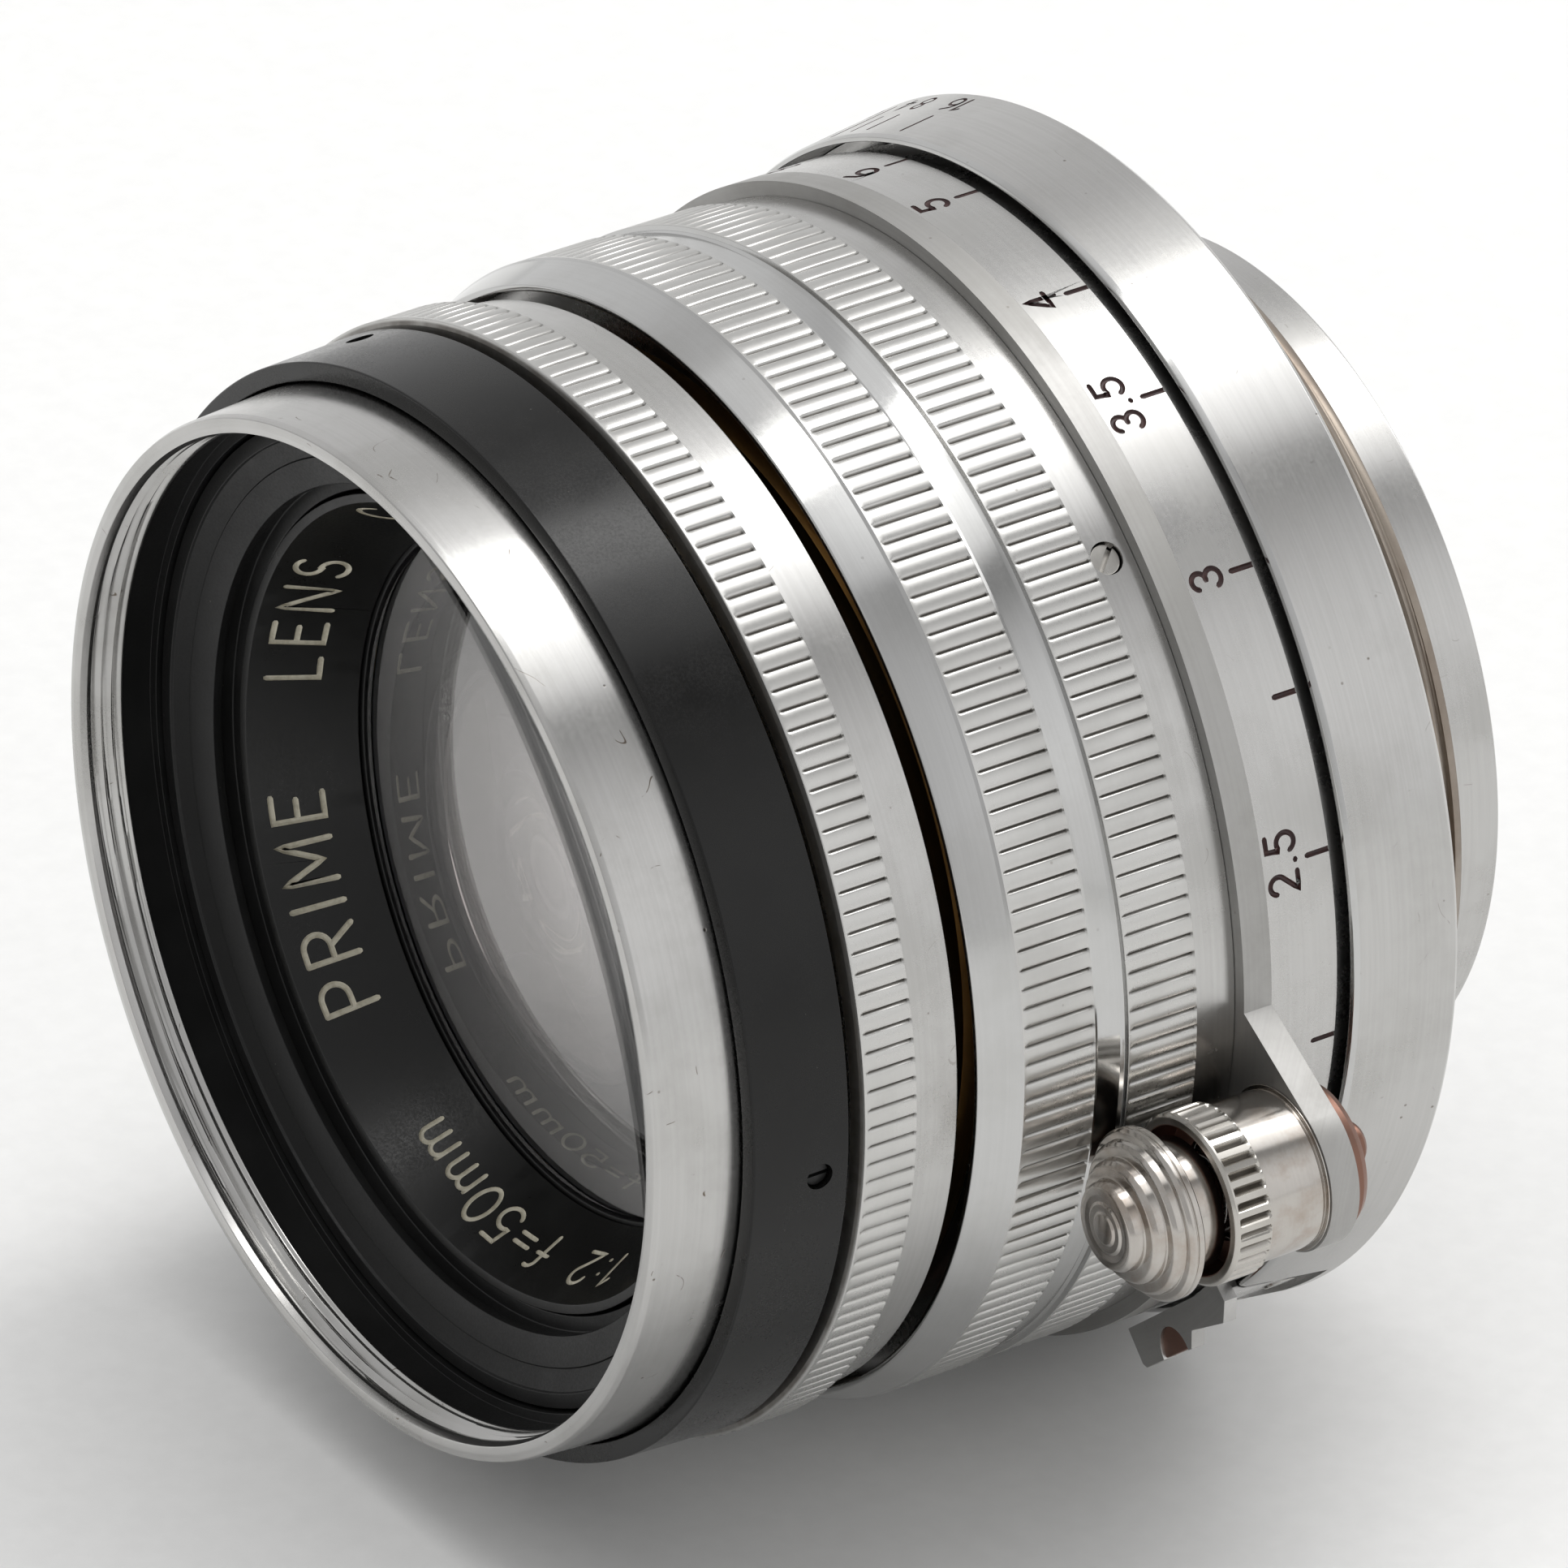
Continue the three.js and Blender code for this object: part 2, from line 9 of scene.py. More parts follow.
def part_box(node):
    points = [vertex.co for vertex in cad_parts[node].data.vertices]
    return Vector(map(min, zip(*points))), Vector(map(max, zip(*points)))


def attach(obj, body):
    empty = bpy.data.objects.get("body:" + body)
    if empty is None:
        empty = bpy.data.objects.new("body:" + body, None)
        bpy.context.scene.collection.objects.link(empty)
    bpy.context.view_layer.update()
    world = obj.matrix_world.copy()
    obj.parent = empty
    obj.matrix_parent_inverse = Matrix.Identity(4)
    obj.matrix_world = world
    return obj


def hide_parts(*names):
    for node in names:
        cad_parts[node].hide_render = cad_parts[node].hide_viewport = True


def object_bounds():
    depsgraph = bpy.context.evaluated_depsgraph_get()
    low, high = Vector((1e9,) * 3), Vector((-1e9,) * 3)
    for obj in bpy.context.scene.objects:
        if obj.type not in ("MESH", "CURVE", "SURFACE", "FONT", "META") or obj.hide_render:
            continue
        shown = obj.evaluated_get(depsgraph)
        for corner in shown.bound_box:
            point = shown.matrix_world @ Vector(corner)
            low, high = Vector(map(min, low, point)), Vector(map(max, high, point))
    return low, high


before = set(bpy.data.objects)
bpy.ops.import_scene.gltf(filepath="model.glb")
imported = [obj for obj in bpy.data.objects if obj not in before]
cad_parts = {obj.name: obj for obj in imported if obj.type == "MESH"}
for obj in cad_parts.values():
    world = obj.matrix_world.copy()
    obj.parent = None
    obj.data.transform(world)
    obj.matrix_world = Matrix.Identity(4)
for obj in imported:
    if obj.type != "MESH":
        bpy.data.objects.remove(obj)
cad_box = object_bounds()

# Lengths are millimetres until a mesh is made. "Depth" is measured backwards from the front rim.
# Angles are degrees round the optical axis (+Y), from +X towards +Z.

MM = 0.001
FRONT_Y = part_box("filter_rim")[0].y / MM
SEGMENTS = 320  # round the lens, on every plain ring
ON_AXIS = (0.0, 0.0)


def radius_of(node):
    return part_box(node)[1].x / MM


def depths_of(node):
    low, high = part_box(node)
    return low.y / MM - FRONT_Y, high.y / MM - FRONT_Y


def polar(radius, angle):
    return radius * math.cos(math.radians(angle)), radius * math.sin(math.radians(angle))


KNOB_LOW, KNOB_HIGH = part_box("lock_button")
KNOB = ((KNOB_LOW.x + KNOB_HIGH.x) / 2 / MM, (KNOB_LOW.z + KNOB_HIGH.z) / 2 / MM)
KNOB_ANGLE = math.degrees(math.atan2(KNOB[1], KNOB[0]))
COLLAR_DEPTHS = (20.8, 22.5)
NUT_RADIUS = 3.05
CATCH_ANGLE = -50.4
INDEX_ANGLE = 121.75


def from_knob(points):
    return np.hypot(points[:, 0] - KNOB[0], points[:, 2] - KNOB[1])


# ---- shading --------------------------------------------------------------------------------------


class Nodes:
    """A node tree, and the few node idioms that the finishes and the studio are made of."""

    def __init__(self, tree):
        self.tree = tree

    def put(self, socket, value):
        if isinstance(value, bpy.types.NodeSocket):
            self.tree.links.new(value, socket)
        else:
            socket.default_value = value

    def node(self, kind, output=0, settings=None, **inputs):
        """One output of a new node. An input called i3 is socket number 3."""
        node = self.tree.nodes.new(kind)
        for key, value in (settings or {}).items():
            setattr(node, key, value)
        for key, value in inputs.items():
            self.put(node.inputs[int(key[1:]) if key[1:].isdigit() else key.replace("_", " ")], value)
        return node.outputs[output]

    def math(self, operation, a, b=0.0):
        return self.node("ShaderNodeMath", settings={"operation": operation}, i0=a, i1=b)

    def times(self, a, b):
        return self.math("MULTIPLY", a, b)

    def plus(self, a, b):
        return self.math("ADD", a, b)

    def minus(self, a, b):
        return self.math("SUBTRACT", a, b)

    def vector(self, operation, a, b):
        return self.node("ShaderNodeVectorMath", settings={"operation": operation}, i0=a, i1=b)

    def xyz(self, vector):
        return self.node("ShaderNodeSeparateXYZ", i0=vector).node.outputs

    def position(self, centre=ON_AXIS):
        """Object coordinates in millimetres, from an axis parallel to Y."""
        at = self.node("ShaderNodeTexCoord", "Object")
        at = self.vector("MULTIPLY", at, (1 / MM, 1 / MM, 1 / MM))
        return self.vector("SUBTRACT", at, (centre[0], 0.0, centre[1]))

    def radius(self, at):
        flat = self.vector("MULTIPLY", at, (1.0, 0.0, 1.0))
        return self.node("ShaderNodeVectorMath", "Value", {"operation": "LENGTH"}, i0=flat)

    def noise(self, at, scale, detail=3.0, roughness=0.55):
        return self.node("ShaderNodeTexNoise", "Fac", Vector=at, Scale=scale, Detail=detail,
                         Roughness=roughness)

    def cells(self, at, scale):
        return self.node("ShaderNodeTexVoronoi", "Distance", Vector=at, Scale=scale)

    def span(self, value, low, high, to_low=0.0, to_high=1.0):
        return self.node("ShaderNodeMapRange", settings={"interpolation_type": "SMOOTHSTEP"},
                         i0=value, i1=low, i2=high, i3=to_low, i4=to_high)

    def mix(self, factor, a, b):
        return self.node("ShaderNodeMix", 2, {"data_type": "RGBA"}, i0=factor, i6=a, i7=b)


class Shader(Nodes):
    """A Principled material."""

    def __init__(self, name, **constants):
        self.material = bpy.data.materials.new(name)
        self.material.use_nodes = True
        super().__init__(self.material.node_tree)
        self.bsdf = self.tree.nodes["Principled BSDF"]
        for socket, value in constants.items():
            self.bsdf.inputs[socket.replace("_", " ")].default_value = value

    def finish(self, base, roughness, height=None, relief=0.0):
        """Sets the surface. relief is how deep the height goes, in millimetres."""
        self.put(self.bsdf.inputs["Base Color"], base)
        self.put(self.bsdf.inputs["Roughness"], roughness)
        if height is not None:
            bump = self.node("ShaderNodeBump", Height=height, Distance=relief * MM, Strength=1.0)
            self.put(self.bsdf.inputs["Normal"], bump)
        return self.material


def rgb(r, g, b):
    return (r, g, b, 1.0)


UNDER_MARKS = rgb(0.18, 0.17, 0.16)
IN_PITS = rgb(0.10, 0.075, 0.05)
IN_HAIRS = rgb(0.12, 0.09, 0.065)
GRIME = rgb(0.10, 0.085, 0.07)
TARNISH = rgb(0.30, 0.22, 0.16)
RUBBED = rgb(0.22, 0.21, 0.19)


def turned_marks(shader, at, per_mm):
    """Fine lines that run round the axis on every face, as a lathe leaves them."""
    x, y, z = shader.xyz(at)
    along = shader.plus(y, shader.radius(at))
    line = shader.node("ShaderNodeCombineXYZ", i0=shader.times(x, 0.12), i1=shader.times(along, per_mm),
                       i2=shader.times(z, 0.12))
    return shader.noise(line, 1.0, 4.0, 0.6)


def metal(name, colour, dull, rough, marks=1.0, patina=0.5, pits=0.4, hairs=0.0, grime=None, centre=ON_AXIS,
          tarnish=0.0, per_mm=7.0, seed=0.0):
    """Plated metal: turning marks, a cloudy film, pits, hairline scratches, stains and dirt.
    grime is (radius where it is full, radius where it ends, amount)."""
    shader = Shader(name, Metallic=1.0)
    at = shader.position(centre)
    moved = shader.vector("ADD", at, (seed, seed * 1.7, -seed))
    cloud = shader.span(shader.noise(moved, 0.16, 6.0, 0.62), 0.42, 0.66)
    fine = shader.noise(moved, 5.0, 4.0, 0.6)
    lines = turned_marks(shader, at, per_mm)
    base = shader.mix(shader.times(cloud, patina), colour, dull)
    base = shader.mix(shader.span(lines, 0.3, 0.7, 0.0, 0.10 * marks), base, UNDER_MARKS)
    if tarnish:
        stain = shader.span(shader.noise(moved, 0.7, 5.0, 0.6), 0.45, 0.72, 0.0, tarnish)
        base = shader.mix(stain, base, TARNISH)
    rougher = shader.plus(shader.times(cloud, 0.06), shader.span(fine, 0.35, 0.7, 0.0, 0.03))
    roughness = shader.plus(rougher, rough)
    sparse = shader.span(shader.noise(moved, 0.45, 2.0), 0.50, 0.62)
    pit = shader.times(shader.span(shader.cells(moved, 0.9), 0.03, 0.075, 1.0, 0.0), sparse)
    base = shader.mix(shader.times(pit, pits), base, IN_PITS)
    height = shader.plus(shader.times(lines, 0.6 * marks), shader.times(fine, 0.05))
    height = shader.minus(height, shader.times(pit, 1.5 * pits))
    if hairs:
        line = shader.math("ABSOLUTE", shader.minus(shader.noise(moved, 0.42, 1.0, 0.4), 0.5))
        here = shader.span(shader.noise(moved, 0.9, 3.0), 0.60, 0.64)
        hair = shader.times(shader.span(line, 0.0012, 0.0035, 1.0, 0.0), here)
        base = shader.mix(shader.times(hair, hairs), base, IN_HAIRS)
        height = shader.minus(height, shader.times(hair, 0.5 * hairs))
    if grime:
        deep = shader.span(shader.radius(at), grime[0], grime[1], 1.0, 0.0)
        amount = shader.times(deep, shader.span(shader.noise(moved, 0.5, 4.0), 0.30, 0.70, 0.55, 1.0))
        base = shader.mix(shader.times(amount, grime[2]), base, GRIME)
        roughness = shader.plus(roughness, shader.times(amount, 0.25))
    return shader.finish(base, roughness, height, 0.0035)


def black(name, colour, rough, worn, gloss=0.5, marks=0.5, seed=0.0):
    """Black paint or anodising, with turning marks under it and grey rubbed specks."""
    shader = Shader(name, Metallic=0.0, Specular_IOR_Level=gloss)
    at = shader.position()
    moved = shader.vector("ADD", at, (seed, -seed, seed * 0.6))
    cloud = shader.noise(moved, 0.35, 5.0, 0.6)
    fine = shader.noise(moved, 9.0, 3.0, 0.6)
    lines = turned_marks(shader, at, 6.0)
    base = shader.mix(shader.span(cloud, 0.35, 0.75, 0.0, 0.6), colour, worn)
    sparse = shader.span(shader.noise(moved, 0.6, 2.0), 0.56, 0.64)
    rubbed = shader.times(shader.span(shader.cells(moved, 1.3), 0.02, 0.06, 1.0, 0.0), sparse)
    base = shader.mix(shader.times(rubbed, 0.35), base, RUBBED)
    roughness = shader.plus(shader.span(fine, 0.3, 0.7, 0.0, 0.10),
                            shader.span(cloud, 0.3, 0.7, rough, rough + 0.08))
    height = shader.plus(shader.times(lines, marks), shader.times(fine, 0.3))
    return shader.finish(base, roughness, height, 0.003)


def paint(name, colour, darker, rough):
    """The filling of an engraving."""
    shader = Shader(name, Metallic=0.0)
    blotch = shader.noise(shader.position(), 3.0, 4.0, 0.6)
    return shader.finish(shader.mix(shader.span(blotch, 0.4, 0.7), colour, darker),
                         shader.span(blotch, 0.3, 0.7, rough, rough + 0.15), blotch, 0.004)


def coated_glass(name, tint, tint_2, ior):
    """Optical glass. Faint dust and cleaning marks change only the gloss."""
    shader = Shader(name, Metallic=0.0, Transmission_Weight=1.0, IOR=ior)
    at = shader.position()
    film = shader.noise(at, 0.25, 4.0, 0.6)
    dust = shader.span(shader.cells(at, 1.6), 0.02, 0.045, 1.0, 0.0)
    speck = shader.times(dust, shader.span(film, 0.48, 0.6))
    return shader.finish(shader.mix(shader.span(film, 0.3, 0.7), tint, tint_2), shader.times(speck, 0.12))


CHROME = rgb(0.52, 0.515, 0.505)
CHROME_DULL = rgb(0.43, 0.425, 0.41)
SATIN_FRONT = metal("chrome_front", CHROME, CHROME_DULL, 0.20, marks=0.8, patina=0.7, pits=0.8, hairs=0.9)
SATIN = metal("chrome_satin", CHROME, CHROME_DULL, 0.22, marks=1.0, patina=0.6, pits=0.5, hairs=0.3,
              seed=31.0)
SATIN_SCALE = metal("chrome_scale", CHROME, CHROME_DULL, 0.24, marks=0.8, patina=0.5, pits=0.3, hairs=0.1,
                    seed=47.0)
SATIN_BAND = metal("chrome_band", CHROME, CHROME_DULL, 0.20, marks=0.9, patina=0.6, pits=0.7, hairs=0.4,
                   seed=73.0)
POLISHED = metal("chrome_polished", rgb(0.54, 0.54, 0.535), CHROME_DULL, 0.09, marks=0.5, patina=0.4,
                 pits=0.2, seed=11.0)
BRUSHED = metal("chrome_brushed", rgb(0.40, 0.395, 0.385), rgb(0.34, 0.335, 0.32), 0.46, marks=1.2,
                patina=0.6, pits=0.4, seed=61.0)
KNURL_FRONT = metal("chrome_knurl_front", rgb(0.56, 0.555, 0.54), CHROME_DULL, 0.27, marks=0.2, patina=0.4,
                    pits=0.3,
                    grime=(radius_of("aperture_ring") - 0.17, radius_of("aperture_ring") - 0.05, 0.8),
                    seed=5.0)
KNURL_GRIP = metal("chrome_knurl_grip", rgb(0.56, 0.555, 0.54), CHROME_DULL, 0.27, marks=0.2, patina=0.4,
                   pits=0.3, grime=(radius_of("grip_ring") - 0.17, radius_of("grip_ring") - 0.05, 0.8),
                   seed=19.0)
NICKEL = metal("nickel_knob", rgb(0.50, 0.475, 0.445), rgb(0.36, 0.33, 0.30), 0.13, marks=0.6, patina=0.7,
               pits=0.5, centre=KNOB, tarnish=0.45, per_mm=9.0, seed=3.0)
NICKEL_TEETH = metal("nickel_teeth", rgb(0.52, 0.50, 0.465), rgb(0.36, 0.33, 0.30), 0.16, marks=0.2,
                     patina=0.6, pits=0.3, centre=KNOB,
                     grime=(radius_of("knob_collar") - KNOB[0] - 0.24,
                            radius_of("knob_collar") - KNOB[0] - 0.06, 0.85),
                     seed=4.0)
# Browned, tarnished metal for the arm's nut and the lock pin. The same dark brown is painted shade on the
# collar's bore, inside the catch's notch and on the aperture retainer in its gap.
BROWNED_AND_PAINTED_SHADE = metal("browned_metal", rgb(0.22, 0.12, 0.09), rgb(0.13, 0.085, 0.07), 0.38, marks=0.4, patina=0.9,
                pits=0.6, centre=KNOB, seed=8.0)
# The mount's thread: brown oxide, and its darker colour is also painted shade where the thread lies behind
# the depth-of-field band's rear edge.
THREAD_OXIDE_AND_SHADE = metal("mount_thread_oxide_and_shade", rgb(0.30, 0.26, 0.22), rgb(0.20, 0.16, 0.13), 0.32, marks=0.4,
                     patina=0.8, pits=0.3, seed=16.0)
BRASS = metal("brass_helicoid", rgb(0.62, 0.45, 0.22), rgb(0.45, 0.32, 0.16), 0.30, marks=1.4, patina=0.8,
              pits=0.3, per_mm=5.0, seed=14.0)
STEEL = metal("steel_screws", rgb(0.50, 0.49, 0.47), rgb(0.36, 0.34, 0.31), 0.25, marks=0.5, patina=0.7,
              pits=0.5, seed=21.0)
BLUED = metal("iris_steel", rgb(0.09, 0.09, 0.10), rgb(0.06, 0.055, 0.05), 0.32, marks=0.4, patina=0.8,
              pits=0.2, seed=25.0)
ENAMEL = black("black_enamel", rgb(0.0035, 0.0034, 0.0032), 0.14, rgb(0.0065, 0.0063, 0.006), gloss=0.30,
               marks=0.12)
MATT = black("black_anodised", rgb(0.004, 0.004, 0.004), 0.38, rgb(0.008, 0.008, 0.008), gloss=0.38,
             marks=0.8, seed=9.0)
GLOSSY_BLACK = black("black_name_ring", rgb(0.0035, 0.0035, 0.0033), 0.26, rgb(0.007, 0.007, 0.0065),
                     gloss=0.38, marks=0.4, seed=13.0)
FILL_DARK = paint("engraving_dark", rgb(0.030, 0.010, 0.010), rgb(0.055, 0.020, 0.018), 0.45)
FILL_CREAM = paint("engraving_cream", rgb(0.62, 0.59, 0.49), rgb(0.48, 0.45, 0.36), 0.5)
GLASS = coated_glass("coated_glass", rgb(0.97, 0.955, 0.94), rgb(0.95, 0.93, 0.93), 1.62)


# ---- meshes ---------------------------------------------------------------------------------------


def rounded(corners, fillet, steps=4):
    """A closed outline with each corner rounded. A corner is (r, depth) or (r, depth, its own fillet)."""
    out = []
    count = len(corners)
    for i, corner in enumerate(corners):
        here = Vector(corner[:2])
        before = Vector(corners[i - 1][:2]) - here
        after = Vector(corners[(i + 1) % count][:2]) - here
        size = corner[2] if len(corner) > 2 else fillet
        turn = before.angle(after, math.pi)
        if size <= 0 or turn > math.radians(172):
            out.append(tuple(here))
            continue
        reach = min(size / math.tan(turn / 2), 0.46 * before.length, 0.46 * after.length)
        start = here + before.normalized() * reach
        end = here + after.normalized() * reach
        for k in range(steps + 1):
            t = k / steps
            out.append(tuple((1 - t) ** 2 * start + 2 * t * (1 - t) * here + t * t * end))
    return out


def split_long(outline, low, high, step):
    """More points on the stretches of a closed outline that cross a range of depths, as a thread needs."""
    out = []
    for i, here in enumerate(outline):
        out.append(here)
        ahead = outline[(i + 1) % len(outline)]
        start, end = sorted((here[1], ahead[1]))
        start, end = max(start, low), min(end, high)
        if end - start < 2 * step:
            continue
        count = math.ceil((end - start) / step)
        depths = [start + (end - start) * k / count for k in range(count + 1)]
        for depth in depths if ahead[1] > here[1] else reversed(depths):
            t = (depth - here[1]) / (ahead[1] - here[1])
            if 0.001 < t < 0.999:
                out.append((here[0] + (ahead[0] - here[0]) * t, depth))
    return out


def revolve(outline, angles=None, centre=ON_AXIS, change=None):
    """Vertices and faces of a closed outline turned about an axis parallel to Y. change moves radii."""
    if angles is None:
        angles = np.arange(SEGMENTS) * 2 * math.pi / SEGMENTS
    profile = np.array(outline, float)
    radius = np.repeat(profile[None, :, 0], len(angles), 0)
    depth = np.repeat(profile[None, :, 1], len(angles), 0)
    turn = np.repeat(np.asarray(angles)[:, None], len(profile), 1)
    if change is not None:
        radius = change(turn, radius, depth)
    x, z = centre[0] + radius * np.cos(turn), centre[1] + radius * np.sin(turn)
    verts = np.stack([x, depth + FRONT_Y, z], -1)
    a, p = len(angles), len(profile)
    i, j = np.meshgrid(np.arange(a), np.arange(p), indexing="ij")
    i2, j2 = (i + 1) % a, (j + 1) % p
    faces = np.stack([i * p + j, i * p + j2, i2 * p + j2, i2 * p + j], -1).reshape(-1, 4)
    return verts.reshape(-1, 3) * MM, faces


def mesh_from(name, verts, faces):
    mesh = bpy.data.meshes.new(name)
    mesh.from_pydata([tuple(v) for v in verts], [], [tuple(int(i) for i in f) for f in faces])
    bm = bmesh.new()
    bm.from_mesh(mesh)
    bmesh.ops.remove_doubles(bm, verts=bm.verts, dist=1e-7)
    bmesh.ops.recalc_face_normals(bm, faces=bm.faces)
    bm.to_mesh(mesh)
    bm.free()
    return mesh


def placed(name, data):
    obj = bpy.data.objects.new(name, data)
    bpy.context.scene.collection.objects.link(obj)
    return obj


def piece(name, verts, faces):
    return placed(name, mesh_from(name, verts, faces))


def baked(obj):
    """Puts what the modifiers make into obj's own mesh."""
    bpy.context.view_layer.update()
    result = bpy.data.meshes.new_from_object(obj.evaluated_get(bpy.context.evaluated_depsgraph_get()))
    obj.modifiers.clear()
    obj.data = result


def carve(obj, cutters, operation="DIFFERENCE"):
    """Cuts each mesh in turn from obj. Only smooth rings are cut: on a knurled one this never ends."""
    for cutter_mesh in cutters:
        cutter = placed("cutter", cutter_mesh)
        modifier = obj.modifiers.new("cut", "BOOLEAN")
        modifier.operation = operation
        modifier.solver = "MANIFOLD"
        modifier.object = cutter
        baked(obj)
        bpy.data.objects.remove(cutter)


def dress(obj, body, nodes, materials, pick=None, sharp=38.0):
    """Materials, smooth shading, and the CAD nodes, body and finish that the piece stands for."""
    mesh = obj.data
    mesh.materials.clear()
    for material in materials:
        mesh.materials.append(material)
    mesh.polygons.foreach_set("use_smooth", [True] * len(mesh.polygons))
    if pick is not None:
        centres = np.zeros(len(mesh.polygons) * 3)
        mesh.polygons.foreach_get("center", centres)
        centres = centres.reshape(-1, 3) / MM
        index = pick(np.hypot(centres[:, 0], centres[:, 2]), centres[:, 1] - FRONT_Y, centres)
        mesh.polygons.foreach_set("material_index", np.asarray(index, np.int32))
    else:
        mesh.polygons.foreach_set("material_index", np.zeros(len(mesh.polygons), np.int32))
    mesh.update()
    mesh.set_sharp_from_angle(angle=math.radians(sharp))
    weighted = obj.modifiers.new("normals", "WEIGHTED_NORMAL")
    weighted.keep_sharp = True
    weighted.weight = 100
    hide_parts(*nodes)
    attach(obj, body)
    return obj


def ring(node, corners, body, materials, fillet=0.05, centre=ON_AXIS, angles=None, change=None,
         dense=None, cutters=(), pick=None, sharp=38.0, suffix="_v"):
    """A turned piece that stands for one CAD node."""
    outline = rounded(corners, fillet)
    if dense:
        outline = split_long(outline, *dense)
    verts, faces = revolve(outline, angles, centre, change)
    obj = piece(node + suffix, verts, faces)
    carve(obj, cutters)
    if not isinstance(materials, list):
        materials = [materials]
    return dress(obj, body, [node], materials, pick, sharp)


def solid_of_revolution(corners, fillet, segments, centre):
    """Vertices and faces of a turned solid, from an outline that starts and ends on its axis."""
    inner = [c for c in corners if c[0] > 0]
    path = rounded([(0.0, corners[0][1], 0.0)] + inner + [(0.0, corners[-1][1], 0.0)], fillet)
    profile = [p for p in path if p[0] > 1e-6]
    angles = [2 * math.pi * k / segments for k in range(segments)]
    verts, faces = [], []
    for turn in angles:
        for r, depth in profile:
            verts.append((centre[0] + r * math.cos(turn), depth + FRONT_Y, centre[1] + r * math.sin(turn)))
    count = len(profile)
    first, last = len(verts), len(verts) + 1
    verts.append((centre[0], corners[0][1] + FRONT_Y, centre[1]))
    verts.append((centre[0], corners[-1][1] + FRONT_Y, centre[1]))
    for k in range(segments):
        a, b = k * count, (k + 1) % segments * count
        for j in range(count - 1):
            faces.append((a + j, a + j + 1, b + j + 1, b + j))
        faces.append((first, a, b))
        faces.append((last, b + count - 1, a + count - 1))
    return np.array(verts) * MM, faces


def prism(outline, low, high):
    """An outline in (x, z), closed, given thickness between two depths."""
    count = len(outline)
    verts = [(x * MM, (depth + FRONT_Y) * MM, z * MM) for depth in (low, high) for x, z in outline]
    faces = [tuple(range(count)), tuple(range(2 * count - 1, count - 1, -1))]
    faces += [(i, (i + 1) % count, count + (i + 1) % count, count + i) for i in range(count)]
    return verts, faces


def arc(radius, start, end, steps, centre=(0.0, 0.0)):
    return [(centre[0] + x, centre[1] + z)
            for x, z in (polar(radius, start + (end - start) * k / steps) for k in range(steps + 1))]


def radial_block(name, inner, outer, low, high, half_width, angle):
    """A block set square to the radius."""
    along, across = Vector(polar(1, angle)), Vector(polar(1, angle + 90))
    corners = ((inner, -half_width), (outer, -half_width), (outer, half_width), (inner, half_width))
    outline = [tuple(along * r + across * t) for r, t in corners]
    return mesh_from(name, *prism(outline, low, high))


def radial_cylinder(name, size, inner, outer, angle, depth):
    """A cylinder along a radius of the lens, between two distances from the optical axis."""
    corners = [(0, inner - FRONT_Y), (size, inner - FRONT_Y), (size, outer - FRONT_Y), (0, outer - FRONT_Y)]
    verts, faces = solid_of_revolution(corners, 0.04, 40, ON_AXIS)
    out_along = Vector((math.cos(math.radians(angle)), 0, math.sin(math.radians(angle))))
    side = Vector((-out_along.z, 0, out_along.x))
    matrix = Matrix((side, out_along, Vector((0, 1, 0)))).transposed()
    moved = [matrix @ Vector(v) + Vector((0, (depth + FRONT_Y) * MM, 0)) for v in verts]
    return mesh_from(name, moved, faces)


def slotted_screw(node, body, material, size, inner, outer, angle, depth, groove, slant=0.0):
    """A screw along a radius of the lens. groove is its slot: (bottom, half length, half width)."""
    bottom, half_length, half_width = groove
    screw = placed(node + "_v", radial_cylinder(node, size, inner, outer, angle, depth))
    cutter = radial_block("slot", bottom, outer + 2, depth - half_length, depth + half_length, half_width,
                          angle)
    if slant:
        at = Vector((0, (depth + FRONT_Y) * MM, 0))
        cutter.transform(Matrix.Translation(at)
                         @ Matrix.Rotation(math.radians(slant), 4, Vector((*polar(1, angle), 0)).xzy)
                         @ Matrix.Translation(-at))
    carve(screw, [cutter])
    dress(screw, body, [node], [material])


# ---- engraving ------------------------------------------------------------------------------------
# Each character is its width and its strokes, in hundredths of its height. A stroke is a list of
# points (x, y) and arcs (centre x, centre y, radius x, radius y, start, end), drawn end to end.

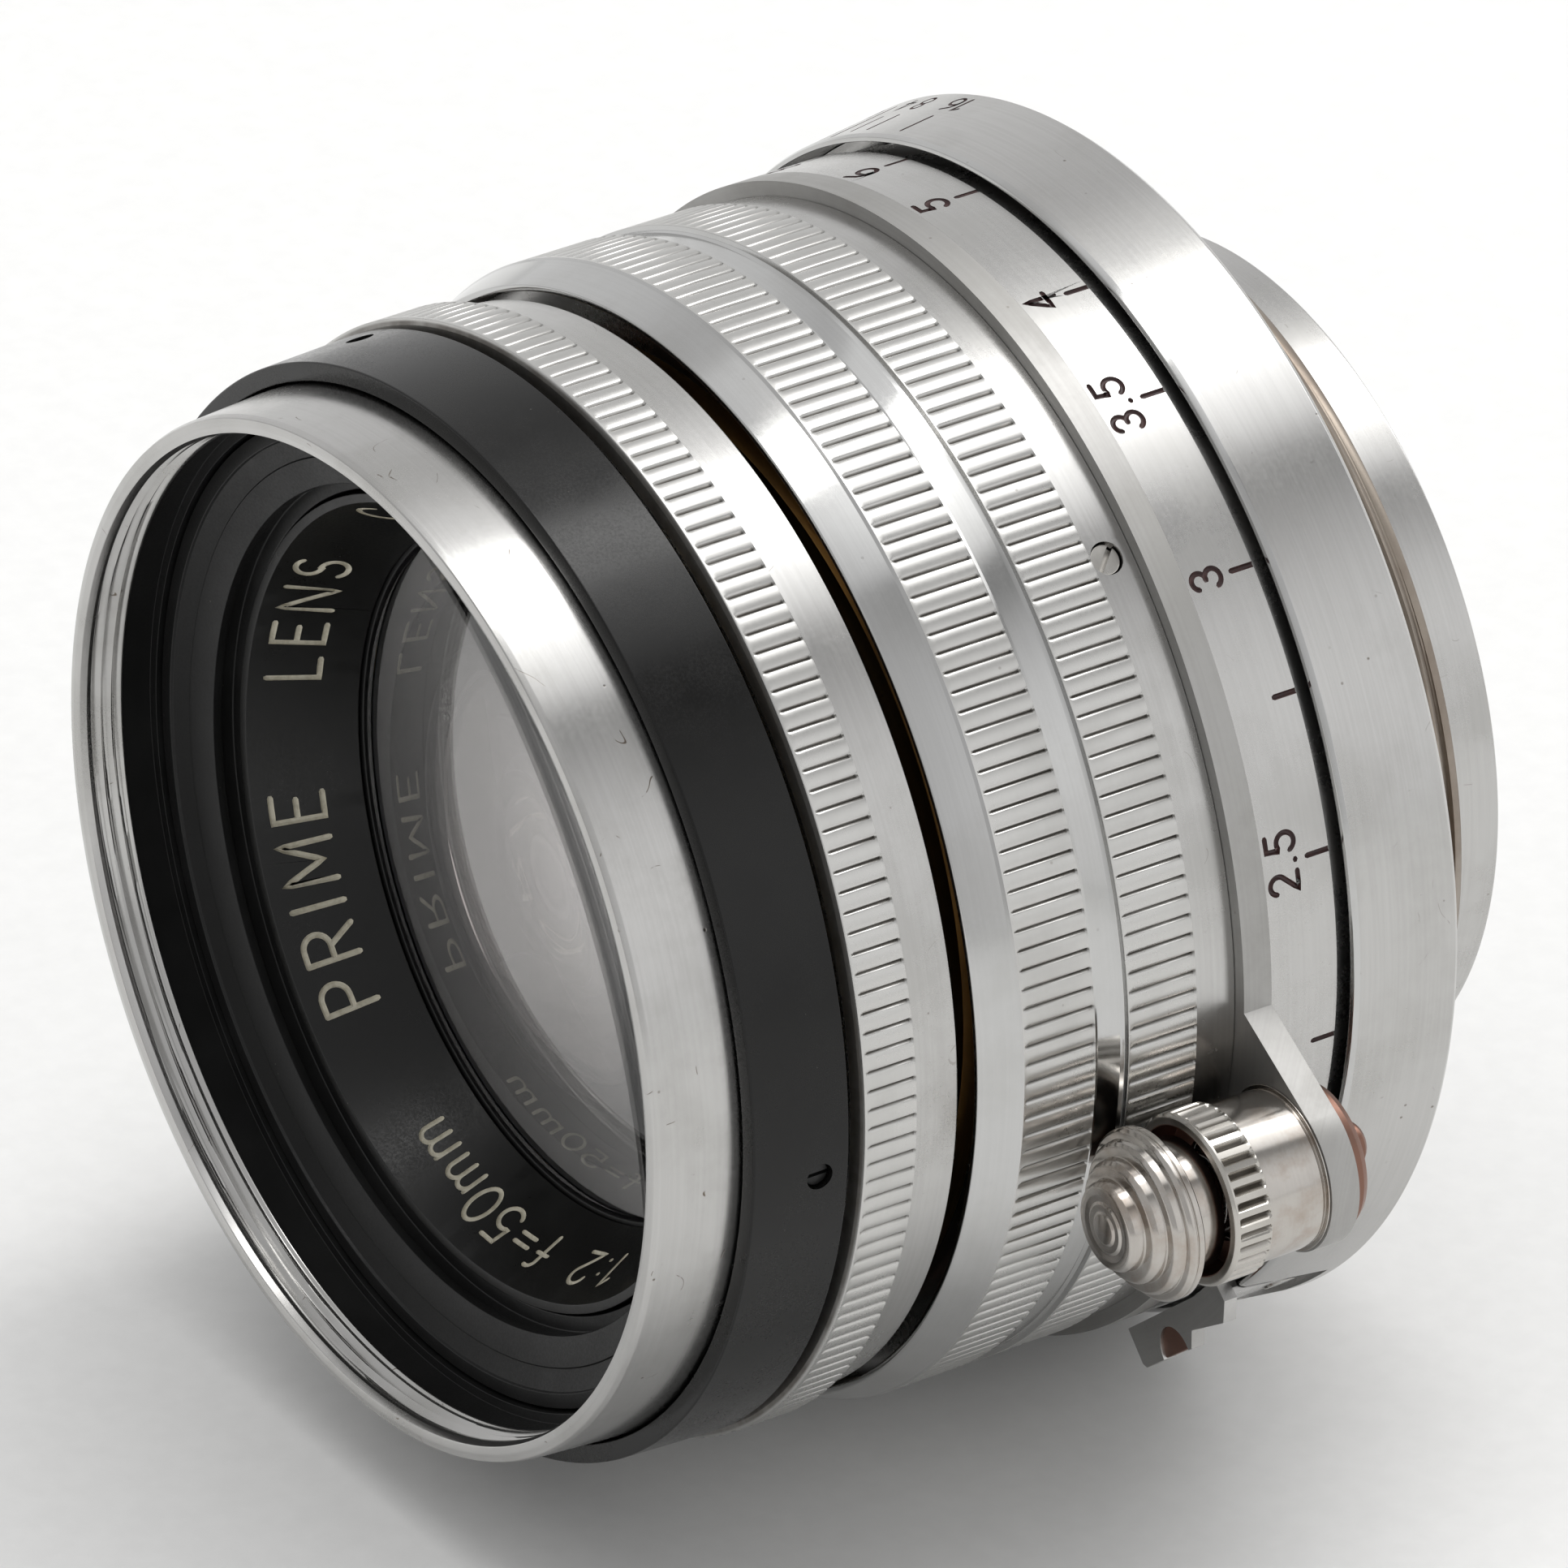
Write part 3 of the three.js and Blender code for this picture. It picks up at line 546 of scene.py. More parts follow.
LETTERS = {
    "0": (62, [[(31, 50, 27, 46, 90, 450)]]),
    "1": (34, [[(5, 78), (25, 96), (25, 4)]]),
    "2": (62, [[(31, 70, 25, 26, 165, -35), (6, 5), (58, 5)]]),
    "3": (60, [[(29, 73, 23, 23, 160, -90)], [(29, 28, 26, 24, 90, -160)]]),
    "4": (64, [[(42, 4), (42, 96), (4, 30), (60, 30)]]),
    "5": (60, [[(52, 95), (13, 95), (9, 55), (28, 32, 27, 28, 120, -155)]]),
    "6": (62, [[(46, 94), (36, 38, 30, 50, 130, 180), (32, 31, 26, 27, 180, 540)]]),
    "8": (60, [[(30, 74, 21, 21, -90, 270)], [(30, 28, 25, 25, 90, 450)]]),
    "o": (66, [[(33, 50, 27, 27, 0, 360)]]),
    ".": (26, [[(12, 7), (14, 7)]]),
    ":": (30, [[(14, 20), (16, 20)], [(14, 62), (16, 62)]]),
    "=": (62, [[(8, 36), (54, 36)], [(8, 62), (54, 62)]]),
    "f": (44, [[(36, 78, 16, 18, 70, 180), (20, 4)], [(4, 56), (38, 56)]]),
    "m": (86, [[(6, 4), (6, 62)], [(24, 42, 18, 20, 180, 0), (42, 4)],
                 [(60, 42, 18, 20, 180, 0), (78, 4)]]),
    "e": (56, [[(6, 34), (50, 34), (28, 34, 22, 28, 0, 310)]]),
    "t": (40, [[(18, 90), (18, 4)], [(3, 62), (36, 62)]]),
    "P": (62, [[(8, 4), (8, 96)], [(8, 96), (32, 71, 24, 25, 90, -90), (8, 46)]]),
    "R": (66, [[(8, 4), (8, 96)], [(8, 96), (32, 72, 24, 24, 90, -90), (8, 48)],
                 [(32, 48), (60, 4)]]),
    "I": (20, [[(10, 4), (10, 96)]]),
    "M": (84, [[(6, 4), (10, 96), (42, 22), (74, 96), (78, 4)]]),
    "E": (56, [[(52, 95), (8, 95), (8, 5), (52, 5)], [(8, 52), (44, 52)]]),
    "L": (52, [[(8, 96), (8, 5), (48, 5)]]),
    "N": (70, [[(8, 4), (8, 96), (62, 4), (62, 96)]]),
    "S": (60, [[(30, 73, 22, 23, 40, 270), (30, 28, 24, 24, 90, -150)]]),
    "C": (66, [[(38, 50, 31, 46, 45, 315)]]),
    "O": (72, [[(36, 50, 30, 46, 0, 360)]]),
    "A": (68, [[(4, 4), (34, 96), (64, 4)], [(15, 34), (53, 34)]]),
    "T": (60, [[(4, 95), (56, 95)], [(30, 95), (30, 4)]]),
    "D": (68, [[(8, 96), (8, 4), (28, 50, 33, 46, -90, 90), (8, 96)]]),
}


def traced(stroke, step=14.0):
    """The points of a stroke, in heights of a letter, with a point every step degrees of an arc."""
    points = []
    for part in stroke:
        if len(part) == 2:
            points.append((part[0] / 100, part[1] / 100))
            continue
        cx, cy, rx, ry = (value / 100 for value in part[:4])
        start, end = part[4:]
        count = max(2, math.ceil(abs(end - start) / step))
        for k in range(count + 1):
            turn = math.radians(start + (end - start) * k / count)
            points.append((cx + rx * math.cos(turn), cy + ry * math.sin(turn)))
    return [p for i, p in enumerate(points) if i == 0 or math.dist(p, points[i - 1]) > 1e-4]


def written(text, height, spacing):
    """Strokes of a line of text, centred on (0, 0) along its baseline, as [(order in its letter, points)]."""
    width = sum(LETTERS[c][0] / 100 + spacing for c in text) - spacing
    at = -width / 2
    strokes = []
    for c in text:
        for order, stroke in enumerate(LETTERS[c][1]):
            strokes.append((order, [((at + x) * height, y * height) for x, y in traced(stroke)]))
        at += LETTERS[c][0] / 100 + spacing
    return strokes


def lettered(text, height, spacing, width, place, first=0):
    """Jobs for channels() that write a line of text."""
    return [(first + order, points, width, place) for order, points in written(text, height, spacing)]


def channels(jobs, sides=8):
    """Round-ended cutters. A job is (order, points, width, place), and cutters of one order don't touch."""
    groups = {}
    for order, points, width, place in jobs:
        fine = [points[0]]
        for a, b in zip(points, points[1:]):
            parts = max(1, math.ceil(math.dist(a, b) / 0.30))
            fine += [(a[0] + (b[0] - a[0]) * k / parts, a[1] + (b[1] - a[1]) * k / parts)
                     for k in range(1, parts + 1)]
        loop = len(fine) > 3 and math.dist(fine[0], fine[-1]) < 1e-6
        if loop:
            fine = fine[:-1]
        spots = [place(*p) for p in fine]
        count = len(spots)
        verts, faces = groups.setdefault(order, ([], []))
        rows = []

        def add_row(centre, normal, along, size):
            side = normal.cross(along).normalized()
            up = along.cross(side).normalized()
            rows.append(len(verts))
            for k in range(sides):
                turn = 2 * math.pi * (k + 0.5) / sides
                verts.append(tuple((centre + (side * math.cos(turn) + up * math.sin(turn)) * size) * MM))

        half = width / 2
        for i, (centre, normal) in enumerate(spots):
            ahead = spots[(i + 1) % count][0] if loop or i < count - 1 else centre
            behind = spots[i - 1][0] if loop or i > 0 else centre
            along = (ahead - behind).normalized()
            if not loop and i == 0:
                add_row(centre - along * half * 0.85, normal, along, half * 0.5)
            bend = 1.0
            if (loop or 0 < i < count - 1) and (ahead - centre).length > 0 and (centre - behind).length > 0:
                bend = 1 / max(0.75, math.cos((ahead - centre).angle(centre - behind) / 2))
            add_row(centre, normal, along, half * bend)
            if not loop and i == count - 1:
                add_row(centre + along * half * 0.85, normal, along, half * 0.5)
        pairs = list(zip(rows, rows[1:])) + ([(rows[-1], rows[0])] if loop else [])
        for a, b in pairs:
            faces += [(a + k, a + (k + 1) % sides, b + (k + 1) % sides, b + k) for k in range(sides)]
        if not loop:
            faces.append(tuple(rows[0] + k for k in reversed(range(sides))))
            faces.append(tuple(rows[-1] + k for k in range(sides)))
    return [mesh_from("channels", *groups[order]) for order in sorted(groups)]


def on_cylinder(surface, angle, depth):
    """place() for text on a ring's outside: its tops face the front, and it reads round the axis."""
    def place(u, v):
        s = depth - v
        r = surface(s)
        turn = math.radians(angle) + u / r
        out = Vector((math.cos(turn), 0, math.sin(turn)))
        return out * r + Vector((0, s + FRONT_Y, 0)), out
    return place


def tick(surface, angle, low, high, width):
    """A job for channels(): a line along the lens between two depths."""
    return 0, [(0.0, -low), (0.0, -high)], width, on_cylinder(surface, angle, 0.0)


def on_cone(radius, depth, slope, angle):
    """place() for text on the name ring: its tops face outwards, and it reads clockwise from the front."""
    def place(u, v):
        r = radius + v * slope[0]
        turn = math.radians(angle) - u / radius
        out = Vector((math.cos(turn), 0, math.sin(turn)))
        centre = out * r + Vector((0, depth - v * slope[1] + FRONT_Y, 0))
        return centre, (-out * slope[1] - Vector((0, slope[0], 0))).normalized()
    return place


# ---- front shell ----------------------------------------------------------------------------------

RIM_RADIUS = radius_of("filter_rim")
RIM_REAR = depths_of("filter_rim")[1]
BAND_SCREW_ANGLES = (-4, 116, 236)
BAND_SCREW_DEPTH = 6.7


def helical(low, high, pitch, depth, inside, edge):
    """change() for revolve: a V thread on the faces at the radius called edge."""
    def change(turn, radius, at):
        wave = np.abs(((at - pitch * turn / (2 * math.pi)) / pitch) % 1.0 - 0.5) * 2
        window = np.clip((at - low) / 0.25, 0, 1) * np.clip((high - at) / 0.25, 0, 1)
        near = np.abs(radius - edge) < 0.05
        return radius + np.where(near, (1 if inside else -1) * depth * wave * window, 0)
    return change


def build_front():
    crest, thread_end = 20.2, 1.95
    ring("filter_rim", [
        (crest, 0.36, 0.03), (20.3, 0.08, 0.06), (20.6, 0.0, 0.12), (20.9, 0.05, 0.10), (21.0, 0.3, 0.10),
        (RIM_RADIUS, 3.7, 0), (RIM_RADIUS, RIM_REAR, 0.03), (20.0, RIM_REAR, 0.03), (20.0, 3.42, 0.03),
        (20.42, 3.42, 0.03), (20.42, 2.05, 0.03), (crest, 1.98, 0.02)],
        "optical_unit", [SATIN_FRONT, MATT], dense=(0.36, thread_end + 0.03, 0.05),
        change=helical(0.42, thread_end, 0.5, 0.26, True, crest), sharp=50,
        pick=lambda r, s, c: np.where((r < 20.6) & (s > 1.99), 1, 0))

    low, high = depths_of("black_band")
    rear = radius_of("black_band")
    holes = [radial_cylinder("hole", 0.56, 20.5, 23, angle, BAND_SCREW_DEPTH) for angle in BAND_SCREW_ANGLES]
    ring("black_band", [(21.35, low), (rear - 0.18, low, 0.09), (rear, high, 0.05), (21.35, high)],
         "optical_unit", ENAMEL, cutters=holes)
    for i, angle in enumerate(BAND_SCREW_ANGLES):
        slotted_screw(f"band_screw_{i + 1}", "optical_unit", MATT, 0.5, 21.4, 22.0, angle,
                      BAND_SCREW_DEPTH, (21.85, 0.7, 0.08))

    ring("front_bezel", [
        (19.25, 3.6, 0.05), (19.85, 3.6, 0.03), (19.85, 7.6), (16.62, 7.6), (16.62, 5.32, 0.08),
        (17.3, 5.32, 0.08), (17.3, 4.72, 0.04), (17.12, 4.68, 0.03), (17.12, 4.28, 0.05), (17.35, 4.2, 0.03),
        (18.3, 3.92, 0.04), (18.34, 3.98, 0.03), (19.2, 3.72, 0.03)],
        "optical_unit", MATT)

    outer, inner = (16.12, 5.15), (14.2, 9.2)
    along = math.dist(outer, inner)
    slope = ((outer[0] - inner[0]) / along, (inner[1] - outer[1]) / along)
    up = along - 2.95
    base, base_depth = inner[0] + slope[0] * up, inner[1] - slope[1] * up
    jobs = []
    for text, angle, tall, width, spacing in (
            ("PRIME", 207.5, 2.3, 0.26, 0.24), ("LENS", 158.0, 2.3, 0.26, 0.24),
            ("COATED", 104.0, 2.3, 0.26, 0.2), ("1:2", 294.5, 1.9, 0.22, 0.18),
            ("f=50mm", 263.0, 1.9, 0.22, 0.18)):
        jobs += lettered(text, tall, spacing, width, on_cone(base, base_depth, slope, angle))

    def painted(r, s, c):
        t = (s - outer[1]) / (inner[1] - outer[1])
        surface = outer[0] + (inner[0] - outer[0]) * t
        return np.where((r > surface + 0.012) & (r < surface + 0.25) & (s > 5.4) & (s < 9.0), 1, 0)

    ring("name_ring", [(16.12, 5.15, 0.06), (16.5, 5.1, 0.04), (16.5, 9.2), (14.2, 9.2, 0.03)],
         "optical_unit", [GLOSSY_BLACK, FILL_CREAM], cutters=channels(jobs), pick=painted)


# ---- aperture ring and focusing ring ----------------------------------------------------------------


def toothed(teeth, parts):
    """Angles with more of them in the grooves. parts are the places in one tooth, from a groove's middle."""
    return np.array([(k + p) * 2 * math.pi / teeth for k in range(teeth) for p in parts])


TOOTH = (0.0, 0.05, 0.10, 0.20, 0.34, 0.50, 0.66, 0.80, 0.90, 0.95)


def ridges(teeth, bands):
    """change() for revolve: rounded ridges and narrow grooves, on the (low, high, crest radius) bands."""
    def change(turn, radius, at):
        place = (turn * teeth / (2 * math.pi)) % 1.0
        off_crest = 1 - np.minimum(place, 1 - place) * 2
        drop = 0.085 * off_crest ** 2 + 0.095 * np.clip((off_crest - 0.80) / 0.2, 0, 1)
        out = radius.copy()
        for low, high, crest in bands:
            window = np.clip((at - low) / 0.18, 0, 1) * np.clip((high - at) / 0.06, 0, 1)
            out -= np.where(radius > crest - 0.12, drop * window, 0)
        return out
    return change


def knurl_rows(crest, low, high):
    """The outline's points that a knurled band needs."""
    return [(crest, low, 0), (crest, low + 0.18, 0), (crest, high - 0.06, 0), (crest, high, 0)]


GRUB_ANGLES = (47, 167, 287)
GRUB_DEPTH = 24.15
DRIVE_ANGLE, DRIVE_DEPTH = 200, 11.7
F_NUMBERS = ("2", "2.8", "4", "5.6", "8", "11", "16", "22")
APERTURE_THROW = 72.0
F_START = 216


def build_aperture_ring():
    crest = radius_of("aperture_ring")
    low, high = depths_of("aperture_ring")
    band = 22.05
    jobs = []
    step = APERTURE_THROW / (len(F_NUMBERS) - 1)
    for k, text in enumerate(F_NUMBERS):
        jobs += lettered(text, 1.25, 0.14, 0.16, on_cylinder(lambda s: band, F_START - step * k, 12.75))
    hole = radial_cylinder("hole", 0.62, 20, 23.5, DRIVE_ANGLE, DRIVE_DEPTH)

    def pick(r, s, c):
        filled = (s > 11.2) & (s < 13.0) & (r < band - 0.01) & (r > band - 0.3)
        x, z = polar(band, DRIVE_ANGLE)
        near_hole = np.hypot(c[:, 0] - x, c[:, 2] - z) < 0.9
        return np.where(filled & ~near_hole, 1, 0)

    seat = 21.62
    ring("aperture_ring", [
        (19.0, low), (seat, low), (seat, 10.93, 0), (band, 10.93, 0.02), (band, high - 0.02, 0.08),
        (19.0, high)],
        "aperture_ring", [SATIN, FILL_DARK], cutters=channels(jobs) + [hole], pick=pick)
    ring("aperture_ring", [
        (seat, low, 0.02), (crest - 0.28, low, 0.05), (crest, 8.52, 0.06), *knurl_rows(crest, 8.62, 10.84),
        (crest - 0.05, 10.87, 0.02), (seat, 10.92, 0.02)],
        "aperture_ring", [KNURL_FRONT], angles=toothed(176, TOOTH),
        change=ridges(176, [(8.62, 10.84, crest)]), suffix="_knurl")
    slotted_screw("aperture_drive_screw", "aperture_ring", STEEL, 0.55, 16.6, 21.95,
                  DRIVE_ANGLE, DRIVE_DEPTH, (21.75, 0.7, 0.09))
    ring("iris_cam_ring", [
        (15.35, 11.7), (16.5, 11.7), (16.5, 19.0), (11.4, 19.0, 0.1), (11.4, 18.5, 0.1), (15.35, 18.5)],
        "aperture_ring", MATT)


def build_grip():
    crest = radius_of("grip_ring")
    holes = [radial_cylinder("hole", 0.68, 20.5, 24, angle, GRUB_DEPTH) for angle in GRUB_ANGLES]

    def pick(r, s, c):
        polished = (s < 15.42) | ((s > 18.72) & (s < 20.22))
        return np.where((r < 22.0) | polished, 0, 1)

    seat, plain = 22.2, 23.41
    ring("grip_ring", [
        (20.1, 15.35), (seat, 15.35), (seat, plain, 0), (22.9, plain, 0.02), (22.9, 25.26, 0.03),
        (20.1, 25.26)],
        "focus_ring", [SATIN], cutters=holes)
    ring("grip_ring", [
        (seat, 13.7, 0.05), (22.45, 13.7, 0.10), (23.02, 15.28, 0.10), (crest, 15.40, 0.03),
        *knurl_rows(crest, 15.48, 18.68), (22.90, 18.74, 0.03), (22.84, 18.95, 0.05), (22.82, 19.5, 0),
        (22.84, 20.0, 0.05), (22.90, 20.16, 0.03), (crest, 20.22, 0.03), *knurl_rows(crest, 20.28, 23.36),
        (seat, 23.40, 0.02)],
        "focus_ring", [POLISHED, KNURL_GRIP], angles=toothed(183, TOOTH),
        change=ridges(183, [(15.48, 18.68, crest), (20.28, 23.36, crest)]), pick=pick, suffix="_knurl")
    for i, angle in enumerate(GRUB_ANGLES):
        slotted_screw(f"grip_screw_{i + 1}", "focus_ring", STEEL, 0.62, 20.2, 22.72, angle,
                      GRUB_DEPTH, (22.4, 0.75, 0.11), slant=45)


FEET = (("8", 8.0), ("6", 6.0), ("5", 5.0), ("4", 4.0), ("3.5", 3.5), ("3", 3.0), ("", 2.75), ("2.5", 2.5),
        ("", 2.25), ("2", 2.0), ("", 1.75), ("1.5", 1.5), ("10", 10.0), ("15", 15.0), ("", 30.0))
MM_PER_FOOT = 304.8
FOCAL_LENGTH = 51.6
LEAD = 10.0  # millimetres of travel in a turn
INFINITY_ANGLE = 160.5


def scale_angle(feet):
    """Where a distance is engraved: the lens extends by e for a film-to-object distance d."""
    spare = feet * MM_PER_FOOT - 2 * FOCAL_LENGTH
    extension = (spare - math.sqrt(spare ** 2 - 4 * FOCAL_LENGTH ** 2)) / 2
    return INFINITY_ANGLE - extension * 360 / LEAD


def build_scale():
    outer = radius_of("scale_ring")
    low, high = depths_of("scale_ring")
    def surface(s):
        return outer

    jobs = []
    for text, feet in FEET:
        jobs.append(tick(surface, scale_angle(feet), 28.6, 29.9, 0.25))
        if text:
            jobs += lettered(text, 1.42, 0.15, 0.24, on_cylinder(surface, scale_angle(feet), 28.15), 1)
    jobs.append(tick(surface, INFINITY_ANGLE, 28.6, 29.9, 0.25))
    for first, side in ((1, -1), (2, 1)):
        loop = on_cylinder(surface, INFINITY_ANGLE + side, 28.2)
        jobs += lettered("o", 1.5, 0.16, 0.22, loop, first)
    jobs += lettered("feet", 1.4, 0.14, 0.2, on_cylinder(surface, -73.0, 28.15), 1)

    def pick(r, s, c):
        return np.where((r < outer - 0.008) & (r > outer - 0.16) & (s > 26.62) & (s < 29.61), 1, 0)

    ring("scale_ring", [(22.3, low), (outer, low, 0), (outer, 29.62, 0.03), (outer - 0.22, 29.66, 0.03),
                        (outer - 0.22, high, 0.05), (22.3, high)],
         "focus_ring", [SATIN_SCALE, FILL_DARK], cutters=channels(jobs), pick=pick)


ARM_HALF_ANGLE = 12.0


def arm_outline():
    """A lug round the knob's stud, and straight flanks that run into the scale ring's circle."""
    outer = radius_of("scale_ring")
    tip_radius = 3.4
    lower = polar(outer, KNOB_ANGLE - ARM_HALF_ANGLE)
    to_root = math.degrees(math.atan2(lower[1] - KNOB[1], lower[0] - KNOB[0]))
    start = to_root + math.degrees(math.acos(tip_radius / math.dist(lower, KNOB)))
    return (arc(tip_radius, start, 2 * KNOB_ANGLE - start, 40, KNOB)
            + arc(outer, KNOB_ANGLE + ARM_HALF_ANGLE, KNOB_ANGLE - ARM_HALF_ANGLE + 360, 280))


def cylinder_cutter(name, radius, low, high, centre=ON_AXIS, segments=SEGMENTS):
    return mesh_from(name, *prism(arc(radius, 0, 360 - 360 / segments, segments - 1, centre), low, high))


def edged(obj, width):
    """Rounds the sharp edges."""
    bevel = obj.modifiers.new("edges", "BEVEL")
    bevel.width = width * MM
    bevel.segments = 3
    bevel.limit_method = "ANGLE"
    bevel.angle_limit = math.radians(50)
    baked(obj)


def build_arm():
    low, high = depths_of("focus_arm")
    low, high = low - 0.08, high + 0.05
    obj = piece("focus_arm_v", *prism(arm_outline(), low, high))
    carve(obj, [cylinder_cutter("bore", 20.1, low - 1, high + 1),
                cylinder_cutter("stud", 1.55, low - 1, high + 1, KNOB, 48)])
    edged(obj, 0.16)
    dress(obj, "focus_ring", ["focus_arm"], [BRUSHED])


def build_knob():
    count = 35
    teeth = toothed(count, (0.0, 0.11, 0.20, 0.30, 0.50, 0.70, 0.80, 0.89))
    sleeve = radius_of("knob_sleeve") - KNOB[0]
    collar = radius_of("knob_collar") - KNOB[0]
    around = np.arange(128) * 2 * math.pi / 128
    front, back = COLLAR_DEPTHS

    def tooth(turn, radius, at):
        place = (turn * count / (2 * math.pi)) % 1.0
        away = np.minimum(place, 1 - place) * 2
        groove = 1 - np.clip((away - 0.16) / 0.36, 0, 1)
        window = np.clip((at - front - 0.20) / 0.14, 0, 1) * np.clip((back - 0.02 - at) / 0.16, 0, 1)
        return radius - np.where(radius > collar - 0.1, 0.28 * groove * window, 0)

    ring("knob_sleeve", [
        (2.05, back + 0.03), (sleeve, back + 0.03, 0.10), (sleeve, 25.0, 0.02), (sleeve - 0.07, 25.05, 0.02),
        (sleeve - 0.07, 25.16, 0.02), (sleeve + 0.12, 25.18, 0.02), (sleeve + 0.12, 25.26, 0.02),
        (1.45, 25.27), (1.45, 27.2), (1.0, 27.2), (1.0, 24.0), (2.05, 24.0)],
        "focus_ring", NICKEL, centre=KNOB, angles=around)
    # Painted shade: the collar's bore and the faces near it, within 3.12 mm of the knob's axis, take the dark
    # browned finish, standing for the shade inside the hollow.
    ring("knob_collar", [
        (3.0, front, 0.05), (collar - 0.12, front, 0.05), (collar, front + 0.12, 0.05),
        (collar, front + 0.2, 0), (collar, front + 0.34, 0), (collar, back - 0.18, 0),
        (collar, back - 0.03, 0.02), (collar - 0.08, back, 0.02),
        (2.05, back), (2.05, back - 0.22), (3.0, back - 0.22)],
        "focus_ring", [NICKEL, NICKEL_TEETH, BROWNED_AND_PAINTED_SHADE], centre=KNOB, angles=teeth, change=tooth,
        pick=lambda r, s, c: np.where(from_knob(c) > 3.12, 1, 2))
    ring("arm_nut", [
        (1.52, 26.56), (NUT_RADIUS, 26.56, 0.04), (NUT_RADIUS, 27.0, 0.04), (NUT_RADIUS - 0.2, 27.3, 0.06),
        (1.52, 27.3)],
        "focus_ring", BROWNED_AND_PAINTED_SHADE, centre=KNOB, angles=around)

    button = solid_of_revolution([
        (0, 16.98), (0.62, 17.0, 0.06), (0.70, 17.08, 0.05), (0.98, 17.06, 0.06), (1.08, 17.14, 0.05),
        (1.35, 17.10, 0.08), (1.66, 17.10, 0.12), (1.80, 17.32, 0.10), (1.84, 17.72, 0.08),
        (2.30, 17.72, 0.14), (2.46, 17.94, 0.12), (2.50, 18.28, 0.06), (2.90, 18.28, 0.12),
        (3.04, 18.46, 0.10), (3.08, 18.72, 0.05), (3.32, 18.76, 0.08), (3.45, 18.90, 0.06),
        (3.45, 19.02, 0.03), (3.38, 19.06, 0.03), (3.38, 19.10, 0.03), (3.45, 19.14, 0.03),
        (3.45, 19.34, 0.06), (3.36, 19.42, 0.05), (2.62, 19.42, 0.06), (2.62, 20.85, 0.05), (0, 20.85)],
        0.05, 128, KNOB)
    dress(piece("lock_button_v", *button), "lock_button", ["lock_button"], [NICKEL], sharp=45)
    pin = solid_of_revolution([
        (0, 20.9), (0.9, 20.9), (0.9, 26.1, 0.06), (0.45, 26.25, 0.05), (0.45, 27.8, 0.05),
        (0.9, 27.86, 0.05),
        (0.9, 28.6, 0.18), (0.7, 28.8, 0.1), (0, 28.8)], 0.04, 48, KNOB)
    dress(piece("lock_pin_v", *pin), "lock_button", ["lock_pin"], [BROWNED_AND_PAINTED_SHADE], sharp=45)

    turns, steps, spacing = 4.5, 260, 0.28
    coil = []
    for k in range(steps + 1):
        turn = 2 * math.pi * turns * k / steps
        out = Vector((math.cos(turn), 0, math.sin(turn)))
        y = 21.1 + 2.65 * k / steps + FRONT_Y
        coil.append((Vector((KNOB[0], y, KNOB[1])) + out * 1.5, out))
    wire = (0, [(spacing * k, 0.0) for k in range(steps + 1)], 0.33,
            lambda u, v: coil[min(steps, round(u / spacing))])
    dress(placed("lock_spring_v", channels([wire], 10)[0]), "focus_ring", ["lock_spring"],
          [STEEL])


# ---- mount ------------------------------------------------------------------------------------------

def build_catch():
    """The plate that stands up in front of the band, with a notch for the lock pin's head."""
    low, high = depths_of("infinity_catch")
    rear_face = low + 0.6
    top = 25.6
    notch, corner = 1.15, 1.05
    outline = [(23.8, -2.85), (top - 0.3, -2.75), (top - 0.1, -2.55), (top - 0.1, -corner)]
    outline += [(top - 0.1 - notch * math.sin(math.radians(a)), -corner * math.cos(math.radians(a)))
                for a in range(12, 169, 13)]
    outline += [(top - 0.05, corner), (top - 0.05, 1.3), (24.9, 1.85), (25.15, 4.4), (24.4, 5.1),
                (23.45, 4.9), (23.72, 2.9)]
    along, across = Vector(polar(1, CATCH_ANGLE)), Vector(polar(1, CATCH_ANGLE + 90))
    turned = [tuple(along * u + across * t) for u, t in outline]
    plate = piece("infinity_catch_v", *prism(turned, low, rear_face))
    carve(plate, [radial_block("foot", 23.85, 24.15, rear_face - 0.5, high, 1.9, CATCH_ANGLE)], "UNION")
    screw_depth = 32.9
    carve(plate, [radial_cylinder("hole", 0.75, 23, 25, CATCH_ANGLE, screw_depth)])
    edged(plate, 0.06)
    dress(plate, "mount", ["infinity_catch"], [SATIN_BAND])
    # A browned block fills the notch: tarnished metal, whose dark colour is also painted shade inside the
    # notch.
    notch_shade_block = placed("catch_notch_browned_shade", radial_block("catch_notch_browned_shade", 24.2, top - 0.12, low + 0.16,
                                                 rear_face - 0.02, 1.1, CATCH_ANGLE))
    edged(notch_shade_block, 0.05)
    dress(notch_shade_block, "mount", ["infinity_catch"], [BROWNED_AND_PAINTED_SHADE])
    slotted_screw("catch_screw", "mount", STEEL, 0.65, 23.55, 24.25, CATCH_ANGLE, screw_depth,
                  (24.08, 0.8, 0.09))


